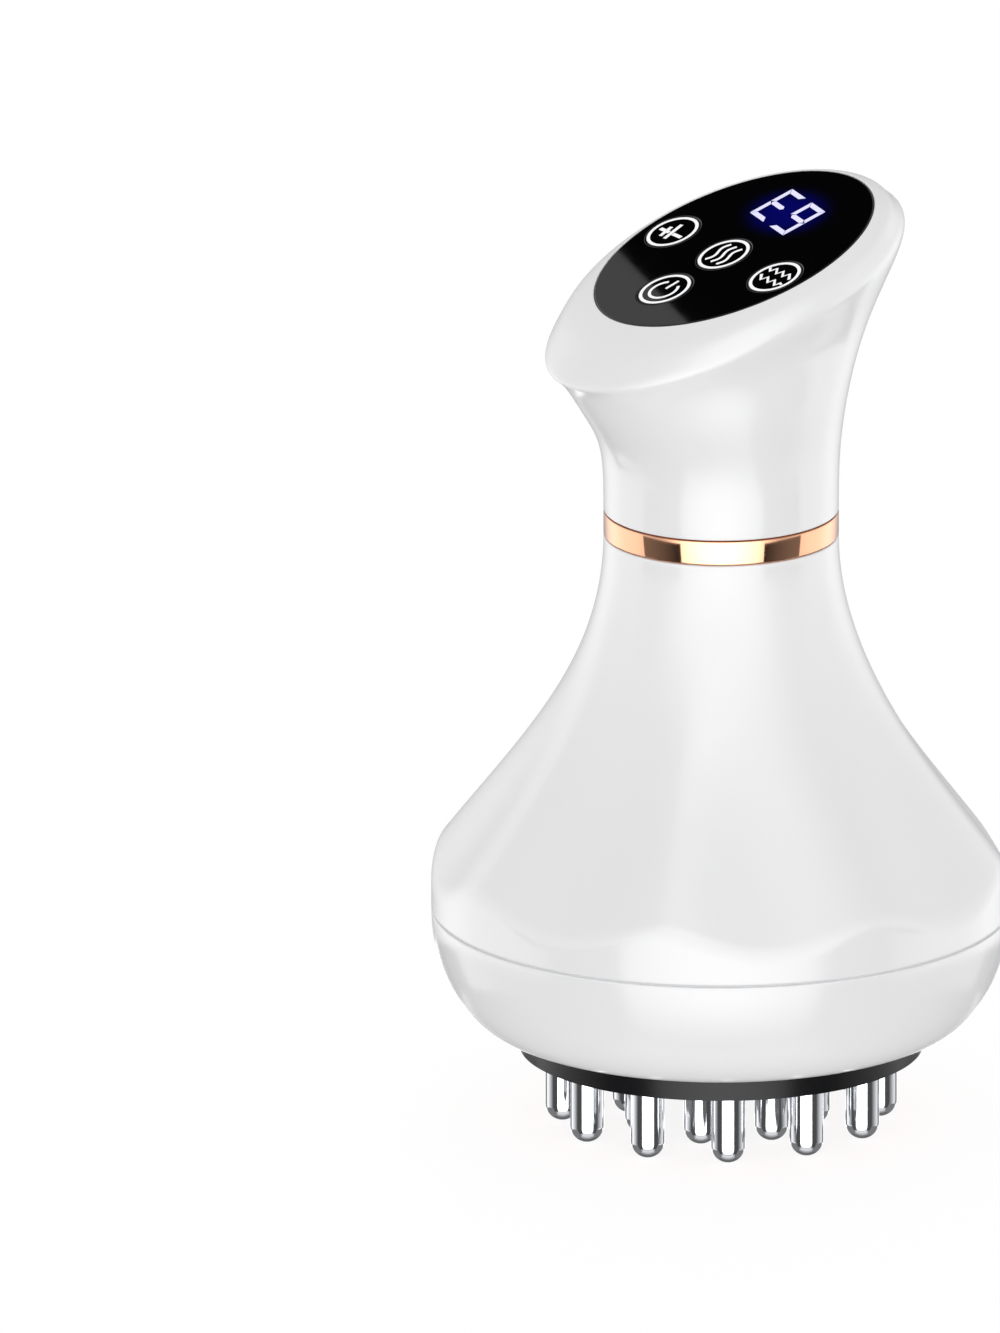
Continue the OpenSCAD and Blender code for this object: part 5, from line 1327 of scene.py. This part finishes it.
def studio_world(stage):
    """White for the camera; for other rays an even room with broad soft lights in it.

    Each soft light adds strength times the cosine of the angle to its middle, to a power.
    """
    world = bpy.data.worlds.new("studio")
    bpy.context.scene.world = world
    world.use_nodes = True
    tree = world.node_tree
    tree.nodes.clear()
    surface = tree.nodes.new("ShaderNodeOutputWorld").inputs["Surface"]
    rays = add(tree, "ShaderNodeLightPath").node.outputs
    way = add(tree, "ShaderNodeTexCoord", output="Generated")
    totals = dict(ROOM_LIGHT)
    for angle, elevation, power, diffuse, glossy in SOFT_LIGHTS:
        cosine = add(tree, "ShaderNodeVectorMath",
                     {0: way, 1: light_way(stage, angle, elevation)}, operation="DOT_PRODUCT")
        facing = add(tree, "ShaderNodeMath", {0: cosine, 1: 0.0}, operation="MAXIMUM")
        lobe = add(tree, "ShaderNodeMath", {0: facing, 1: power}, operation="POWER")
        for key, strength in (("diffuse", diffuse), ("glossy", glossy)):
            if strength:
                totals[key] = add(tree, "ShaderNodeMath",
                                  {0: lobe, 1: strength, 2: totals[key]},
                                  operation="MULTIPLY_ADD")
    mirrored = add(tree, "ShaderNodeMix", {"Factor": rays["Is Glossy Ray"],
                                           "A": totals["diffuse"], "B": totals["glossy"]},
                   data_type="FLOAT")
    level = add(tree, "ShaderNodeMix", {"Factor": rays["Is Camera Ray"], "A": mirrored,
                                        "B": 1.0}, data_type="FLOAT")
    add(tree, "ShaderNodeBackground", {"Color": (1, 1, 1, 1), "Strength": level}, to=surface)


class MASSAGER_OT_stage(bpy.types.Operator):
    """Makes the camera, the floor, the light and the cards that mirrors show"""
    bl_idname = "massager.stage"
    bl_label = "Stage"

    def execute(self, context):
        """A long-lens view from the photograph's angle over a pale floor."""
        settings = context.scene.massager
        stage = settings.stage
        right, up, back = camera_axes(stage)
        camera = bpy.data.cameras.new("camera")
        camera.type = "ORTHO"
        camera.ortho_scale = PHOTO.max()/stage.scale*MM
        camera.clip_start, camera.clip_end = 0.05, 20
        view = bpy.data.objects.new("camera", camera)
        context.scene.collection.objects.link(view)
        place = photo_point(settings, PHOTO/2) + back*stage.distance
        view.matrix_world = from_axes(place, right, up, back)
        context.scene.camera = view

        # The floor is a disc 4 m in radius, a hair below the pins' tips.
        disc = patch(round_about([[0, -2e-5], [4, -2e-5]], 64))
        floor = show("floor", mesh_of("floor", [disc]), pale_floor(stage))
        floor.visible_glossy = False
        studio_world(stage)

        # Each card's angles are twice those at which pins, band and shell mirror it.
        level = np.array([math.sin(stage.azimuth), -math.cos(stage.azimuth), 0])
        for side, hand, inner, outer, glow in ((1, " right", 41.4, 81.6, 1.0),
                                               (-1, " left", 38.7, 79.5, 1.35)):
            card("dark card" + hand, curved_card(stage, side*inner, side*outer, -0.02, 0.05),
                 0.053, (0.32, side*right, 0.2, 0.3))
            card("narrow card" + hand, curved_card(stage, side*37, side*67, -0.3, -0.022), 0.09)
            card("side card" + hand, curved_card(stage, side*67, side*125, -0.12, -0.06), 0.1,
                 (glow, -level, -0.117, 0.107))
            card("floor card" + hand,
                 floor_card(side*right, level, ((0.17, 0.075), (0.7, 0.74))), 0.25)
            card("back card" + hand, curved_card(stage, side*125, side*155, -0.12, -0.06), 0.25)
        card("rear light", curved_card(stage, 155, 205, -0.12, -0.06), 1.8)
        card("floor card", floor_card(right, level, ((-0.17, 0.19), (0.17, 0.19))), 0.18,
             (1.15, level, -0.05, 0.19))
        card("panel's black card", panel_card(settings, (-0.11, 0)), 0.0)
        card("panel's grey card", panel_card(settings, (0, 0.05)), 0.5)
        return {"FINISHED"}


class MASSAGER_PT_pieces(bpy.types.Panel):
    """Lists the operators that make the massager"""
    bl_idname = "MASSAGER_PT_pieces"
    bl_label = "Drainage massager"
    bl_space_type = "VIEW_3D"
    bl_region_type = "UI"
    bl_category = "Massager"

    def draw(self, context):
        """One button for each operator, then a box for each group of sizes and colours."""
        for operator in OPERATORS:
            self.layout.operator(operator.bl_idname)
        for group in Massager.__annotations__:
            settings = getattr(context.scene.massager, group)
            box = self.layout.box()
            box.label(text=group.capitalize())
            for key in type(settings).__annotations__:
                box.prop(settings, key)


OPERATORS = (MASSAGER_OT_stage, MASSAGER_OT_base, MASSAGER_OT_seal, MASSAGER_OT_bell,
             MASSAGER_OT_band, MASSAGER_OT_handle, MASSAGER_OT_panel, MASSAGER_OT_keys,
             MASSAGER_OT_display, MASSAGER_OT_pins, MASSAGER_OT_inside)
CLASSES = (BaseSizes, HeadSizes, PanelSizes, PinSizes, Colours, StageSizes, Massager,
           *OPERATORS, MASSAGER_PT_pieces)


def register():
    """Registers the classes and hangs the settings on the scene."""
    for each in CLASSES:
        bpy.utils.register_class(each)
    bpy.types.Scene.massager = bpy.props.PointerProperty(type=Massager)


def unregister():
    """Takes the settings off the scene and unregisters the classes."""
    del bpy.types.Scene.massager
    for each in reversed(CLASSES):
        bpy.utils.unregister_class(each)


def main():
    """Registers the add-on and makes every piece."""
    register()
    bpy.context.scene.view_settings.view_transform = "Standard"
    for operator in OPERATORS:
        group, name = operator.bl_idname.split(".")
        getattr(getattr(bpy.ops, group), name)()


if __name__ == "__main__":
    main()
